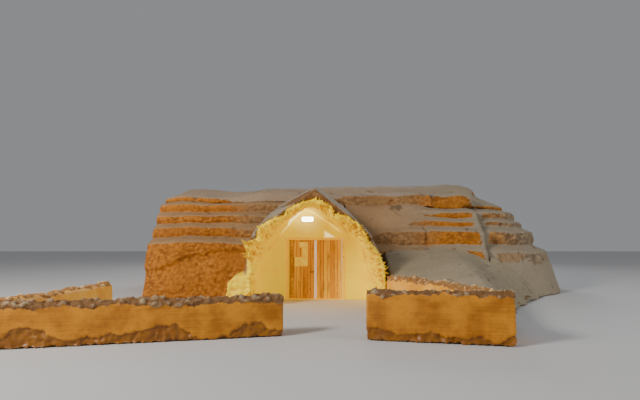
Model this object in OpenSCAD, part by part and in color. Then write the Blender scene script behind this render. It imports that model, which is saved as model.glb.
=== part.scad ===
// A large snow igloo: a long corbelled snow vault with one rounded end, entered through
// a splayed snow porch with a double plank door, and a forecourt held by low snow walls.
// Millimetres. The origin is on the ground in the middle of the doorway: X runs along the
// front to the right, Y into the building and Z up.

/* [Vault] */
// Thickness of the vault at its crown
crown_t = 250; // [180:10:350]
// Curve parameter of the hanging-chain shape inside the vault
vault_curve = 1600; // [1300:10:1800]
// Half depth of the hall over its outer faces at the ground
hall_half = 4000; // [3700:10:4400]
// How far over the crown the outer faces would close, if they ran on
close_over = 450; // [350:10:700]
// How long the outer faces stay steep before they turn in
batter_low = 2.5; // [2:0.1:3.2]
// How sharply the outer faces close at the top
batter_high = 0.72; // [0.6:0.02:0.9]
// Distance from the doorway to the flat left end
left_run = 6300; // [5200:50:7200]
// Distance from the doorway to the centre of the rounded right end
right_run = 6300; // [5200:50:7200]
// How far the rounded end is set in from the right wing's faces
end_set = 600; // [300:20:700]

/* [Lifts] */
// Height of the first lift of snow on the left wing
left_rise_1 = 2140; // [1900:10:2300]
// Height of the second lift on the left wing
left_rise_2 = 530; // [420:10:620]
// Height of the third lift on the left wing
left_rise_3 = 480; // [400:10:580]
// Height of the fourth lift on the left wing
left_rise_4 = 460; // [380:10:560]
// Height of the crown over the left wing's lifts
left_crown_rise = 390; // [320:10:480]
// Height of the first lift on the right wing, the rounded end and the back
right_rise_1 = 1850; // [1700:10:2000]
// Height of the second lift on the right wing
right_rise_2 = 710; // [600:10:800]
// Height of the third lift on the right wing
right_rise_3 = 330; // [280:10:420]
// Height of the fourth lift on the right wing
right_rise_4 = 420; // [340:10:500]
// Highest rise of the sloping ledge on top of a lift's face
ledge_rise = 160; // [100:5:200]
// Share of the crown's height that slopes back under the roof snow, over the left wing
crown_slope = 0.42; // [0.3:0.02:0.5]
// The same share over the right wing, whose crown is one deep, round step
right_crown_slope = 0.2; // [0.15:0.01:0.3]
// The same share over the rounded end, whose crown is worn to a cone
end_crown_slope = 0.75; // [0.5:0.05:0.8]
// Radius of the rounded nose at the top of a lift's face
nose_r = 110; // [60:5:140]
// How far the foot of a lift is worn back under its face
undercut = 45; // [10:5:70]

/* [Left end] */
// Thickness of the flat wall that closes the left end
end_wall_t = 850; // [600:10:1100]
// How far that wall is set in from the ends of the lifts
end_wall_set = 90; // [0:10:200]

/* [Roof snow] */
// Depth of the settled snow along the ridge at the left end
roof_snow_left = 120; // [80:10:300]
// Depth of the settled snow along the ridge at the rounded end
roof_snow_right = 590; // [300:10:700]
// Extra depth of the hump over the left end
roof_hump = 210; // [0:10:300]
// Distance of the hump's top from the left end
hump_at = 900; // [500:50:1500]
// Length over which the hump dies away
hump_run = 1100; // [700:50:1600]
// Length over which the roof snow rises from the left end
end_rise = 360; // [200:20:600]
// Depth of the snow that drapes over the crown's edge, left of the porch
drape_t = 90; // [50:10:140]
// Distance of the drape's open end to the left of the doorway's middle
drape_start = 3400; // [3000:50:4500]
// Distance of its other end, under the snow on the porch
drape_end = 660; // [500:20:900]
// Length over which it thickens from its open end
drape_taper = 1300; // [800:50:1800]

/* [Wing drift] */
// Depth of the drift in the corners of the right wing's steps
drift_t = 160; // [120:10:200]
// Distance of the drift's start to the right of the doorway's middle
drift_start = 1160; // [1120:20:1300]
// Length of the drift along the right wing
drift_run = 4000; // [2500:50:4500]

/* [Doorway] */
// Width of one door leaf
leaf_w = 900; // [800:5:920]
// Height of the door leaves
leaf_h = 2010; // [1900:5:2060]
// Thickness of the door leaves
leaf_t = 45; // [38:1:55]
// Gap between the two leaves
meeting_gap = 10; // [10:1:14]
// Gap between a leaf and its post, and between the leaves and the head and sill
leaf_gap = 5; // [5:0.5:8]
// Width of the pale edge board on each meeting edge
edge_board_w = 24; // [18:1:40]
// How far the edge boards stand proud of the planks
edge_board_t = 8; // [5:1:12]
// Width of the frame posts, seen from the front
post_w = 110; // [90:5:130]
// Depth of the frame, front to back
post_d = 85; // [75:1:110]
// How far the frame stands in front of the snow wall
frame_proud = 20; // [10:1:40]
// Height of the head of the frame
head_h = 80; // [60:5:100]
// How far the head runs past each post
head_over = 20; // [0:5:40]
// Thickness of the sill board
sill_h = 35; // [25:1:45]

/* [Door furniture] */
// Height of the lever handle over the ground
handle_z = 950; // [900:10:1050]
// Distance from the meeting edge to the spindle of the handle
handle_set = 62; // [55:1:80]
// Length of the lever
lever_len = 125; // [110:1:140]
// Diameter of the lever and its spindle
lever_d = 20; // [14:1:24]
// Outer diameter of a hinge knuckle
knuckle_d = 18; // [16:1:24]
// Diameter of a hinge pin
pin_d = 10; // [8:0.5:11]
// Length of a moving knuckle
knuckle_len = 60; // [50:1:80]
// Length of each fixed knuckle, over and under the moving one
fixed_knuckle_len = 28; // [20:1:40]
// Width of a hinge plate
hinge_plate_w = 44; // [36:1:60]

/* [Passage] */
// Half width of the passage through the hall's wall
passage_half = 1100; // [1060:10:1200]
// Height at which the passage's arch springs
passage_spring = 1900; // [1800:10:1950]
// Height of the passage under its arch
passage_h = 2450; // [2350:10:2500]

/* [Porch] */
// Depth of the porch in front of the door
porch_d = 2100; // [1700:10:2500]
// Thickness of the snow wall that holds the door frame
door_wall_t = 300; // [240:10:400]
// Height of the point of the arch over the door
arch_h = 3160; // [3000:10:3250]
// Distance of that point to the left of the doorway's middle
arch_lean = 370; // [200:10:420]
// Half width of the pointed arch, left of the doorway's middle
arch_left = 1890; // [1750:10:1950]
// Half width of the pointed arch, right of the doorway's middle
arch_right = 1710; // [1650:10:1850]
// How sharply the left side of that arch turns in to its point
arch_bend_left = 1.7; // [1.3:0.05:2.4]
// How sharply its right side turns in
arch_bend_right = 2.2; // [1.8:0.05:2.6]
// Half width of the mouth of the porch
mouth_half = 2080; // [2000:10:2150]
// Height of the mouth of the porch
mouth_h = 3240; // [3150:10:3300]
// How full the left shoulder of the mouth is, under its blunt point
shoulder_left = 5; // [3:0.1:6]
// How full its right shoulder is
shoulder_right = 3.4; // [3:0.1:6]
// Thickness of the snow at the torn lip of the mouth
lip_t = 110; // [80:10:180]
// How deep the lip is torn, as a share of the tears in the photo
torn = 1; // [0:0.1:1.2]
// Half width over the porch at the door wall
porch_out_half = 2430; // [2350:10:2500]
// Height over the porch at the door wall
porch_out_h = 3520; // [3450:10:3600]

/* [Porch roof] */
// Depth of the snow on the porch at its front
cap_front = 250; // [150:10:350]
// Depth of the snow on the porch where it meets the hall
cap_back = 640; // [400:10:700]
// Depth of that snow along its two lower edges
cap_edge = 25; // [15:5:40]

/* [Side block] */
// Width of the snow block beside the porch's left foot
block_w = 560; // [400:10:700]
// Share of the porch's depth, from the door, at which that block starts
block_start = 0.4; // [0:0.2:0.8]

/* [Lamp] */
// Width of the bulkhead lamp over the door
lamp_w = 430; // [380:5:460]
// Height of the lamp
lamp_h = 190; // [150:5:220]
// Depth of the lamp's housing
lamp_base_d = 45; // [35:1:60]
// Depth of the lamp's diffuser in front of the housing
lamp_cover_d = 55; // [40:1:70]
// Rim of the housing that shows round the diffuser
lamp_rim = 14; // [8:1:20]
// Height of the middle of the lamp over the ground
lamp_z = 2790; // [2700:10:2800]
// Distance of the middle of the lamp to the left of the doorway's middle
lamp_lean = 275; // [200:5:300]

/* [Forecourt] */
// Height of the front wall left of the gateway
front_left_h = 840; // [700:10:1000]
// Height of the front wall right of the gateway
front_right_h = 1000; // [850:10:1150]
// Thickness of the front walls at the ground
front_wall_t = 460; // [380:10:560]
// Height of the side wall at the left of the forecourt
side_wall_h = 900; // [750:10:1000]
// Thickness of the side wall
side_wall_t = 400; // [320:10:480]
// Height of the wall that holds the snow bank
court_wall_h = 950; // [850:10:1050]
// Thickness of that wall
court_wall_t = 360; // [300:10:450]
// How far the faces of the low walls lean in to their tops
wall_batter = 45; // [20:5:70]
// Depth of the crusted rounding on top of the low walls
wall_crust = 70; // [40:5:100]

/* [Snow bank] */
// Height of the bank where it lies against the hall
bank_h = 1870; // [1700:10:1950]
// How far the bank reaches past the centre of the rounded end
bank_past_end = 2000; // [1000:50:2200]
// Height of the bank at its far end, as a share of its height by the porch
bank_fall = 0.75; // [0.4:0.05:0.85]
// How far the free edge of the bank bows in towards the hall
bank_bow = 350; // [0:10:600]
// Depth of the snow at the free edge of the bank
bank_edge = 40; // [20:5:80]

/* [Hidden] */

$fn = 48;
// Thin joint between pieces of snow that only lie on each other
bed = 0.5;

// Middle line of the hall, behind the door wall
hall_y = door_wall_t + hall_half;
left_levels = stacked([left_rise_1, left_rise_2, left_rise_3, left_rise_4]);
right_levels = stacked([right_rise_1, right_rise_2, right_rise_3, right_rise_4]);
crown_h = left_levels[4] + left_crown_rise;
vault_h = crown_h - crown_t;
hall_close_h = crown_h + close_over;
// Chords in the vault's curve over one lift
inner_steps = 4;
// Where the left wing's upper lifts end and the right wing's begin
wing_seam = passage_half;

snow = [0.86, 0.66, 0.36];
powder = [0.80, 0.79, 0.77];
lit_snow = [0.98, 0.80, 0.32];
ice = [0.80, 0.58, 0.20];
pine = [0.78, 0.52, 0.24];
steel = [0.30, 0.30, 0.31];
white = [0.95, 0.94, 0.90];

// Levels of the joints between lifts of the given heights
function stacked(rises) =
    [for (i = [0 : len(rises)]) i == 0 ? 0 : total([for (k = [0 : i - 1]) rises[k]])];

function total(list) = list * [for (v = list) 1];

// Inverse hyperbolic cosine, which gives a hanging chain's half width from its drop
function arc_cosh(v) = ln(v + sqrt(v * v - 1));

// Half width inside the vault at a height
function inner_half(z) = vault_curve * arc_cosh(1 + max(0, vault_h - z) / vault_curve);

// Half depth over the hall at a height
function outer_half(z) = hall_half * pow(1 - pow(z / hall_close_h, batter_low), batter_high);

// Points of the vault's curve between two heights, each as [half width, height]
function inner_line(z0, z1) =
    [for (k = [0 : inner_steps])
        let (z = z0 + (z1 - z0) * k / inner_steps) [inner_half(z), z]];

// Points of one lift's weathered face: an undercut foot, a rounded nose and a sloping ledge
function face_line(z0, z1, slope = crown_slope) =
    let (
        out = outer_half(z0),
        r = min(nose_r, (z1 - z0) * 0.3),
        crown = z1 >= crown_h,
        ledge = crown ? slope * (z1 - z0) : min(ledge_rise, (z1 - z0) * 0.32),
        nose = z1 - ledge - r,
        foot = z0 == 0 ? 0 : undercut)
    concat(
        [[out - foot, z0], [out, z0 + 2 * foot + 1]],
        [for (a = [0 : 24 : 72]) [out - r + r * cos(a), nose + r * sin(a)]],
        [[outer_half(z1) - (crown ? 0 : undercut), z1]]);

// Half section of a lift, as [distance from the middle line, height]
function lift_section(z0, z1) =
    concat(inner_line(z0, z1), reverse(face_line(z0, z1)));

function reverse(list) = [for (i = [len(list) - 1 : -1 : 0]) list[i]];

// The faces of a whole wing, from the ground to the crown
function wing_face(levels, slope) =
    concat([for (i = [0 : 3]) each face_line(levels[i], levels[i + 1])],
           face_line(levels[4], crown_h, slope));

// The same faces at the rounded end, which stands upright at its foot and then steps in
function set_in(points) =
    let (from = right_levels[1] * 0.4)
    [for (p = points)
        [p[0] - end_set * min(1, max(0, (p[1] - from) / (right_levels[1] - from))), p[1]]];

// The vault's curve over the crown, from a height up to the top
function crown_inner(z0) =
    [for (k = [0 : 2 * inner_steps])
        let (z = z0 + (vault_h - z0) * sin(90 * k / (2 * inner_steps))) [inner_half(z), z]];

// A section drawn as [Y, Z] and run along X
module along(x0, x1) {
    translate([x0, 0, 0])
        rotate([90, 0, 90])
            linear_extrude(x1 - x0) children();
}

// A section on the front side or, with side = 1, on the back side of the middle line
module half_section(points, side = -1) {
    polygon([for (p = points) [hall_y + side * p[0], p[1]]]);
}

module front_left_lift(i) {
    end = i <= 2 ? -passage_half : wing_seam;
    color(snow)
        along(-left_run, end)
            half_section(lift_section(left_levels[i - 1], left_levels[i]));
}

module front_right_lift(i) {
    color(snow)
        along(passage_half, right_run)
            half_section(lift_section(right_levels[i - 1], right_levels[i]));
}

module back_lift(i) {
    color(snow)
        along(-left_run, right_run)
            half_section(lift_section(right_levels[i - 1], right_levels[i]), side = 1);
}

module round_end_lift(i) {
    z0 = right_levels[i - 1];
    z1 = right_levels[i];
    color(snow)
        translate([right_run, hall_y, 0])
            rotate([0, 0, -90])
                rotate_extrude(angle = 180)
                    polygon(concat(inner_line(z0, z1), reverse(set_in(face_line(z0, z1)))));
}

// Everything inside the hall's front faces, to cut what lies against them
module hall_mass() {
    along(-left_run, wing_seam)
        polygon(concat(
            [for (p = wing_face(left_levels, crown_slope)) [hall_y - p[0], p[1]]],
            [[hall_y, crown_h], [hall_y, 0]]));
    along(wing_seam, right_run)
        polygon(concat(
            [for (p = wing_face(right_levels, right_crown_slope)) [hall_y - p[0], p[1]]],
            [[hall_y, crown_h], [hall_y, 0]]));
}

// Everything inside the rounded end's faces
module round_mass() {
    translate([right_run, hall_y, 0])
        rotate([0, 0, -90])
            rotate_extrude(angle = 180, $fn = 240)
                polygon(concat(
                    [[0, 0]], set_in(wing_face(right_levels, end_crown_slope)), [[0, crown_h]]));
}

// The flat end wall, built up in the same lifts inside the ends of the side walls
module left_end_wall() {
    front_inner = concat(
        [for (i = [0 : 3]) each inner_line(left_levels[i], left_levels[i + 1])],
        crown_inner(left_levels[4]));
    back_inner = concat(
        [for (i = [0 : 3]) each inner_line(right_levels[i], right_levels[i + 1])],
        crown_inner(right_levels[4]));
    color(snow)
        difference() {
            along(-left_run + end_wall_set, -left_run + end_wall_set + end_wall_t)
                polygon(concat(
                    [for (p = front_inner) [hall_y - p[0], p[1]]],
                    [for (p = reverse(back_inner)) [hall_y + p[0], p[1]]]));
            for (i = [1 : 4])
                translate([-left_run, 0, left_levels[i]])
                    cube([2 * end_wall_t, 2 * hall_y, bed]);
        }
}

// Outline of the passage, as [X, Z]
function passage_line() =
    [for (a = [0 : 10 : 180])
        [passage_half * cos(a), passage_spring + (passage_h - passage_spring) * sin(a)]];

// A section drawn as [X, Z] and run along Y
module into(y0, y1) {
    translate([0, y1, 0])
        rotate([90, 0, 0])
            linear_extrude(y1 - y0) children();
}

// The block over the passage, between the two wings
module passage_arch() {
    levels = [for (i = [0 : 2]) left_levels[i]];
    color(snow)
        intersection() {
            into(0, hall_y)
                polygon(concat(
                    passage_line(),
                    [[-passage_half, levels[2]], [passage_half, levels[2]]]));
            along(-passage_half, passage_half)
                half_section(concat(
                    [for (i = [0, 1]) each inner_line(levels[i], levels[i + 1])],
                    reverse([for (i = [0, 1]) each face_line(levels[i], levels[i + 1])])));
        }
}

// Whole section of the crown, over a wing whose lifts end at front_z
module crown_section(front_z, front_slope) {
    back_z = right_levels[4];
    polygon(concat(
        [for (p = face_line(front_z, crown_h, front_slope)) [hall_y - p[0], p[1]]],
        [for (p = reverse(face_line(back_z, crown_h, right_crown_slope)))
            [hall_y + p[0], p[1]]],
        [for (p = crown_inner(back_z)) [hall_y + p[0], p[1]]],
        [for (p = reverse(crown_inner(front_z))) [hall_y - p[0], p[1]]]));
}

module crown_left() {
    color(snow)
        along(-left_run, wing_seam)
            crown_section(left_levels[4], crown_slope);
}

module crown_right() {
    color(snow)
        along(wing_seam, right_run)
            crown_section(right_levels[4], right_crown_slope);
}

module crown_dome() {
    foot_z = right_levels[4];
    color(snow)
        translate([right_run, hall_y, 0])
            rotate([0, 0, -90])
                rotate_extrude(angle = 180)
                    polygon(concat(
                        crown_inner(foot_z),
                        [[0, crown_h]],
                        reverse(set_in(face_line(foot_z, crown_h, end_crown_slope)))));
}

// A solid between two grids of points, low and high, of the same rows and columns. Seen
// with high in front, a turn from the way the rows go to the way the columns go is clockwise.
module between(low, high) {
    rows = len(low);
    cols = len(low[0]);
    count = rows * cols;
    function at(r, c) = r * cols + c;
    function quad(a, b, c, d) = [[a, b, c], [a, c, d]];
    polyhedron(
        points = concat([for (row = low) each row], [for (row = high) each row]),
        faces = concat(
            [for (r = [0 : rows - 2], c = [0 : cols - 2])
                each quad(at(r, c), at(r, c + 1), at(r + 1, c + 1), at(r + 1, c))],
            [for (r = [0 : rows - 2], c = [0 : cols - 2])
                each quad(count + at(r, c), count + at(r + 1, c),
                          count + at(r + 1, c + 1), count + at(r, c + 1))],
            [for (c = [0 : cols - 2])
                each quad(at(0, c), count + at(0, c), count + at(0, c + 1), at(0, c + 1))],
            [for (c = [0 : cols - 2])
                each quad(at(rows - 1, c), at(rows - 1, c + 1),
                          count + at(rows - 1, c + 1), count + at(rows - 1, c))],
            [for (r = [0 : rows - 2])
                each quad(at(r, 0), at(r + 1, 0), count + at(r + 1, 0), count + at(r, 0))],
            [for (r = [0 : rows - 2])
                each quad(at(r, cols - 1), count + at(r, cols - 1),
                          count + at(r + 1, cols - 1), at(r + 1, cols - 1))]));
}

// Half width of the roof snow along the hall, drawn in round at both ends
function roof_half(x) =
    let (
        half = outer_half(crown_h),
        drawn_in = end_set * max(0, min(1, (x - right_run + half) / half)),
        past = max(0, x - right_run) / (half - end_set),
        before = max(0, -left_run + half / 2 - x) / (half / 2))
    (half - drawn_in) * sqrt(max(0, 1 - past * past)) * (1 - 0.35 * before * before);

// Depth of the roof snow on the ridge, which deepens to the right and dips by the porch
function roof_depth(x) =
    let (t = (x + left_run) / (left_run + right_run))
    roof_snow_left + (roof_snow_right - roof_snow_left) * pow(max(0, t - 0.12), 0.8)
        + roof_hump * exp(-pow((x + left_run - hump_at) / hump_run, 2))
        + 18 * sin(x / 7) + 12 * sin(x / 3.1);

module roof_snow() {
    end_r = outer_half(crown_h) - end_set;
    stations = concat(
        [for (k = [0 : 21]) -left_run + 40 + k * (left_run + right_run - 40) / 21],
        [for (a = [20, 40, 58, 72, 82]) right_run + end_r * sin(a)]);
    across = [-1, -0.9, -0.7, -0.4, -0.1, 0.2, 0.5, 0.75, 0.92, 1];
    function top_z(x, v) =
        let (end = min(1, (x + left_run + end_rise / 6) / end_rise),
             past = max(0, x - right_run) / end_r)
        crown_h + 12 + roof_depth(x) * (1 - pow(abs(v), 2.4)) * pow(max(0, end), 0.4)
            * sqrt(max(0, 1 - past * past));
    color(powder)
        between(
            [for (v = across) [for (x = stations) [x, hall_y + v * roof_half(x), crown_h]]],
            [for (v = across)
                [for (x = stations)
                    [x, hall_y + v * (roof_half(x) - 6), top_z(x, v)]]]);
}

// The snow that drapes over the crown's edge between the open face at the left and the porch
module roof_drape() {
    top = face_line(left_levels[4], crown_h);
    edge = hall_y - top[len(top) - 1][0] - bed;
    foot = hall_y - top[0][0] - 2 * drape_t;
    shares = [0, 0.2, 0.4, 0.6, 0.75, 0.86, 0.93, 0.97, 1];
    xs = spread(-drape_start, -drape_end, 10);
    function grown(x) = min(1, max(0.02, (x - xs[0]) / drape_taper));
    function level(w) = mix(crown_h, left_levels[4] - 0.4 * drape_t, pow(w, 4.5));
    function over(x, w) =
        level(w) + drape_t * ((1.2 + 1.6 * w * (1 - w)) * grown(x) - 1);
    color(powder)
        difference() {
            between(
                [for (x = xs)
                    [for (w = shares) [x, mix(edge, foot, w), left_levels[4] - ledge_rise]]],
                [for (x = xs) [for (w = shares) [x, mix(edge, foot, w), over(x, w)]]]);
            hall_mass();
            porch_roof_body(-cap_u, 0);
        }
}

// The drift that fills the corners of the right wing's upper steps, from the snow on the
// porch to where it thins out at the right
module wing_drift() {
    foot = [hall_y - outer_half(right_levels[2]) - drift_t * 1.4, right_levels[2] - drift_t * 0.5];
    head = [hall_y - outer_half(right_levels[4]), right_levels[4] + drift_t];
    xs = spread(drift_start, wing_seam + drift_run, 12);
    shares = [0, 0.12, 0.25, 0.4, 0.55, 0.7, 0.85, 0.95, 1];
    function thin(x, w) =
        pow(max(0, (x - wing_seam) / drift_run - mix(0.35, 0.6, w)) / 0.5, 1.5);
    function top(x, w) =
        [x, mix(foot[0], head[0], w) + 2 * drift_t * thin(x, w),
         mix(foot[1], head[1], w) + drift_t * 1.3 * sin(180 * w) - 2 * drift_t * thin(x, w)];
    color(powder)
        difference() {
            between(
                [for (w = shares)
                    [for (x = xs) [x, hall_y - drift_t * (1 - w), foot[1] - 3 * drift_t]]],
                [for (w = shares) [for (x = xs) top(x, w)]]);
            hall_mass();
            porch_roof_body(0, cap_u);
            into(0, roof_end_y) offset(delta = bed) porch_outline();
        }
}

// Where the lip is torn back: u round the mouth, from -1 at the left foot over 0 at the top
// to 1 at the right foot, and how much of the smooth mouth is left or stands proud there
tears = [
    [-1, 0.97], [-0.62, 0.92], [-0.55, 0.95], [-0.45, 1.04], [-0.35, 0.92], [-0.29, 1],
    [-0.2, 0.97], [-0.14, 0.93], [-0.12, 0.99], [-0.07, 1], [0, 0.99], [0.1, 1], [0.12, 0.91],
    [0.14, 0.95], [0.2, 1], [0.28, 1], [0.36, 0.96], [0.4, 0.93], [0.5, 0.97], [0.6, 1],
    [0.7, 0.99], [1, 0.97],
];

function tear(u) = 1 - torn * (1 - lookup(u, tears));

// Share of an arch's height at u, with a power that spreads the points evenly along it
function arch_rise(u) = cos(90 * pow(abs(u), 0.6));

// An arch with a blunt point and round shoulders, as [X, Z]
function round_arch(u, half, top) =
    [sign(u) * half * (1 - pow(arch_rise(u), u < 0 ? shoulder_left : shoulder_right)),
     top * arch_rise(u)];

// The pointed arch over the door: upright sides that lean in to a point left of the middle
function pointed_arch(u) =
    let (
        rise = arch_rise(u),
        lean = pow(max(0, (rise - 0.25) / 0.75), u < 0 ? arch_bend_left : arch_bend_right),
        foot = u < 0 ? -arch_left : arch_right)
    [foot + (-arch_lean - foot) * lean, arch_h * rise];

function mix(a, b, t) = a + (b - a) * t;

// Inner and outer surface of the porch at u and at a share s of its depth from the door
function porch_in(u, s) =
    let (
        ragged = mix(1, tear(u), pow(s, 3)),
        p = mix(pointed_arch(u), round_arch(u, mouth_half, mouth_h) * ragged, pow(s, 0.75)))
    [p[0], -porch_d * s, p[1]];

function porch_smooth(u, s) =
    mix(round_arch(u, porch_out_half, porch_out_h),
        round_arch(u, mouth_half + lip_t, mouth_h + lip_t), s);

function porch_out(u, s) =
    let (p = porch_smooth(u, s) * mix(1, tear(u), pow(s, 3)))
    [p[0], -porch_d * s, p[1]];

// Where the porch's walls end and its vault begins
vault_u = 0.4;
depth_shares = [0, 0.2, 0.4, 0.6, 0.8, 0.93, 1];

function spread(u0, u1, count) = [for (k = [0 : count]) u0 + (u1 - u0) * k / count];

// One part of the porch's splayed shell, from u0 to u1
module porch_shell(u0, u1, count) {
    us = spread(u0, u1, count);
    color(lit_snow)
        between(
            [for (u = us) [for (s = depth_shares) porch_in(u, s)]],
            [for (u = us) [for (s = depth_shares) porch_out(u, s)]]);
}

wall_cols = 12;
vault_cols = 20;
// Columns of the left wall that the side block covers
block_cols = 6;

module porch_left_wall() { porch_shell(-1, -vault_u, wall_cols); }
module porch_vault_left() { porch_shell(-vault_u, 0, vault_cols); }
module porch_vault_right() { porch_shell(0, vault_u, vault_cols); }
module porch_right_wall() { porch_shell(vault_u, 1, wall_cols); }

// Outline over the porch at the door wall, with the same points as the shell
module porch_outline() {
    us = concat(
        spread(-1, -vault_u, wall_cols), spread(-vault_u, 0, vault_cols),
        spread(0, vault_u, vault_cols), spread(vault_u, 1, wall_cols));
    polygon([for (u = us) [porch_out(u, 0)[0], porch_out(u, 0)[2]]]);
}

frame_half = meeting_gap / 2 + leaf_w + leaf_gap + post_w;
leaf_z = sill_h + leaf_gap;
head_z = leaf_z + leaf_h + leaf_gap;
frame_top = head_z + head_h;

// The snow round the door, run back until it meets the hall's faces
module door_wall(x0, x1, z0, z1) {
    color(lit_snow)
        difference() {
            into(0, roof_end_y)
                intersection() {
                    porch_outline();
                    translate([x0, z0]) square([x1 - x0, z1 - z0]);
                }
            hall_mass();
            into(door_wall_t, hall_y) polygon(concat(
                passage_line(), [[-passage_half, -1], [passage_half, -1]]));
        }
}

module door_wall_left() { door_wall(-porch_out_half - 1, -frame_half, 0, frame_top); }
module door_wall_right() { door_wall(frame_half, porch_out_half + 1, 0, frame_top); }
module door_wall_over() {
    door_wall(-porch_out_half - 1, porch_out_half + 1, frame_top, porch_out_h + 1);
}

// The roof snow lies on the porch's vault, over the same columns of points
cap_u = vault_u;
roof_end_y = hall_y - outer_half(crown_h) - 4;

// The snow on the porch between u0 and u1: a ridge that climbs back to the hall's crown. Its
// top is smooth to the front, where its underside follows the torn lip.
module porch_roof_body(u0, u1) {
    us = spread(u0, u1, vault_cols);
    function back(y) = (y + porch_d) / (roof_end_y + porch_d);
    function depth(y) = mix(cap_front, cap_back, pow(back(y), 1.15));
    function under(u, y) =
        y < 0 ? porch_out(u, -y / porch_d)
              : [porch_out(u, 0)[0], y, porch_out(u, 0)[2]];
    function over(u, y) =
        let (
            p = porch_smooth(u, max(0, -y / porch_d)),
            width = cap_u * mix(0.55, 1, back(y)),
            rise = pow(max(0, 1 - abs(u) / width), mix(1.2, 0.8, back(y))))
        [p[0] * 1.012, y, p[1] + cap_edge + depth(y) * rise];
    ys = concat(
        [for (k = [6 : -1 : 1]) roof_end_y * k / 6],
        [for (s = depth_shares) if (s < 1) -porch_d * s]);
    between(
        [for (u = us) [for (y = ys) under(u, y)]],
        [for (u = us) [for (y = ys) over(u, y)]]);
}

module porch_roof(u0, u1) {
    color(powder)
        difference() {
            porch_roof_body(u0, u1);
            hall_mass();
        }
}

module porch_roof_left() { porch_roof(-cap_u, 0); }
module porch_roof_right() { porch_roof(0, cap_u); }

// The rough block of snow left against the porch's left foot, from its front back
module side_block() {
    us = [for (k = [0 : block_cols]) -1 + (1 - vault_u) * k / wall_cols];
    shares = [for (s = depth_shares) if (s >= block_start) s];
    function swell(u, s) =
        let (
            up = porch_out(u, s)[2] / porch_out(us[block_cols], s)[2],
            lean = porch_out(u, s)[0] - porch_out(us[0], s)[0],
            back = (s - block_start) / (1 - block_start))
        (block_w * (1 - 0.45 * pow(up, 8)) * (1 + 0.04 * sin(500 * up + 300 * s)) + lean)
            * (0.35 + 0.65 * pow(back, 0.5));
    color(lit_snow)
        between(
            [for (u = us) [for (s = shares) porch_out(u, s)]],
            [for (u = us) [for (s = shares) porch_out(u, s) - [swell(u, s), 0, 0]]]);
}

// Frame of the double door: two posts, a head and a sill
module door_frame() {
    inner = frame_half - post_w;
    color(pine) {
        for (side = [-1, 1])
            translate([side * (inner + post_w / 2) - post_w / 2, -frame_proud, 0])
                cube([post_w, post_d, head_z]);
        translate([-frame_half - head_over, -frame_proud, head_z])
            cube([2 * (frame_half + head_over), frame_proud, head_h]);
        translate([-frame_half, -frame_proud, head_z])
            cube([2 * frame_half, post_d, head_h]);
        translate([-inner, -frame_proud, 0])
            cube([2 * inner, post_d, sill_h]);
    }
}

leaf_y = post_d - frame_proud - leaf_t;
pivot_x = meeting_gap / 2 + leaf_w + leaf_gap / 2;
pivot_y = leaf_y + leaf_t + knuckle_d / 2 + 2;

// One leaf, drawn for the left side: planks on a flat back, with a pale board on its free edge
module leaf_slab() {
    x0 = -meeting_gap / 2 - leaf_w;
    translate([x0, leaf_y, leaf_z]) cube([leaf_w, leaf_t, leaf_h]);
    translate([-meeting_gap / 2 - edge_board_w, leaf_y - edge_board_t, leaf_z])
        cube([edge_board_w, edge_board_t, leaf_h]);
}

module left_leaf() { color(pine) leaf_slab(); }
module right_leaf() { color(pine) mirror([1, 0, 0]) leaf_slab(); }

hinge_zs = [for (t = [0.12, 0.5, 0.88]) leaf_z + t * leaf_h];
hinge_plate_t = 3;
pin_gap = 0.1;

// The moving halves of one leaf's hinges, drawn for the left side
module hinges() {
    for (z = hinge_zs)
        translate([-pivot_x, pivot_y, z - knuckle_len / 2])
            difference() {
                union() {
                    cylinder(d = knuckle_d, h = knuckle_len);
                    translate([leaf_gap / 2, -knuckle_d / 2 - 2, 0])
                        cube([hinge_plate_w, hinge_plate_t, knuckle_len]);
                    translate([0, -knuckle_d / 2, 0])
                        cube([knuckle_d * 0.7, hinge_plate_t + 1, knuckle_len]);
                }
                translate([0, 0, -1]) cylinder(d = pin_d + 2 * pin_gap, h = knuckle_len + 2);
            }
}

module left_hinges() { color(steel) hinges(); }
module right_hinges() { color(steel) mirror([1, 0, 0]) hinges(); }

// The fixed halves with their pins, on the backs of the posts
module hinge_pins() {
    reach = knuckle_len / 2 + 1 + fixed_knuckle_len;
    color(steel)
        for (side = [0, 1], z = hinge_zs)
            mirror([side, 0, 0])
                translate([-pivot_x, pivot_y, z]) {
                    cylinder(d = pin_d, h = 2 * reach, center = true);
                    for (end = [-reach, knuckle_len / 2 + 1])
                        translate([0, 0, end]) {
                            cylinder(d = knuckle_d, h = fixed_knuckle_len);
                            translate([-hinge_plate_w, -knuckle_d / 2 - 2, 0])
                                cube([hinge_plate_w - leaf_gap / 2, hinge_plate_t, fixed_knuckle_len]);
                            translate([-knuckle_d * 0.7, -knuckle_d / 2, 0])
                                cube([knuckle_d * 0.7, hinge_plate_t + 1, fixed_knuckle_len]);
                        }
                }
}

plate_w = 42;
plate_h = 170;
plate_t = 4;
lever_out = 52;

// Lever handle with its long plate, on the left leaf
module door_handle() {
    x = -meeting_gap / 2 - handle_set;
    color(steel)
        translate([x, leaf_y, handle_z]) {
            translate([-plate_w / 2, -plate_t, -plate_h * 0.6])
                cube([plate_w, plate_t, plate_h]);
            rotate([90, 0, 0]) cylinder(d = lever_d, h = lever_out);
            translate([0, -lever_out + lever_d / 2, 0]) {
                rotate([0, -90, 0]) cylinder(d = lever_d, h = lever_len - lever_d / 2);
                translate([-lever_len + lever_d / 2, 0, 0]) sphere(d = lever_d);
                sphere(d = lever_d);
            }
        }
}

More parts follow.
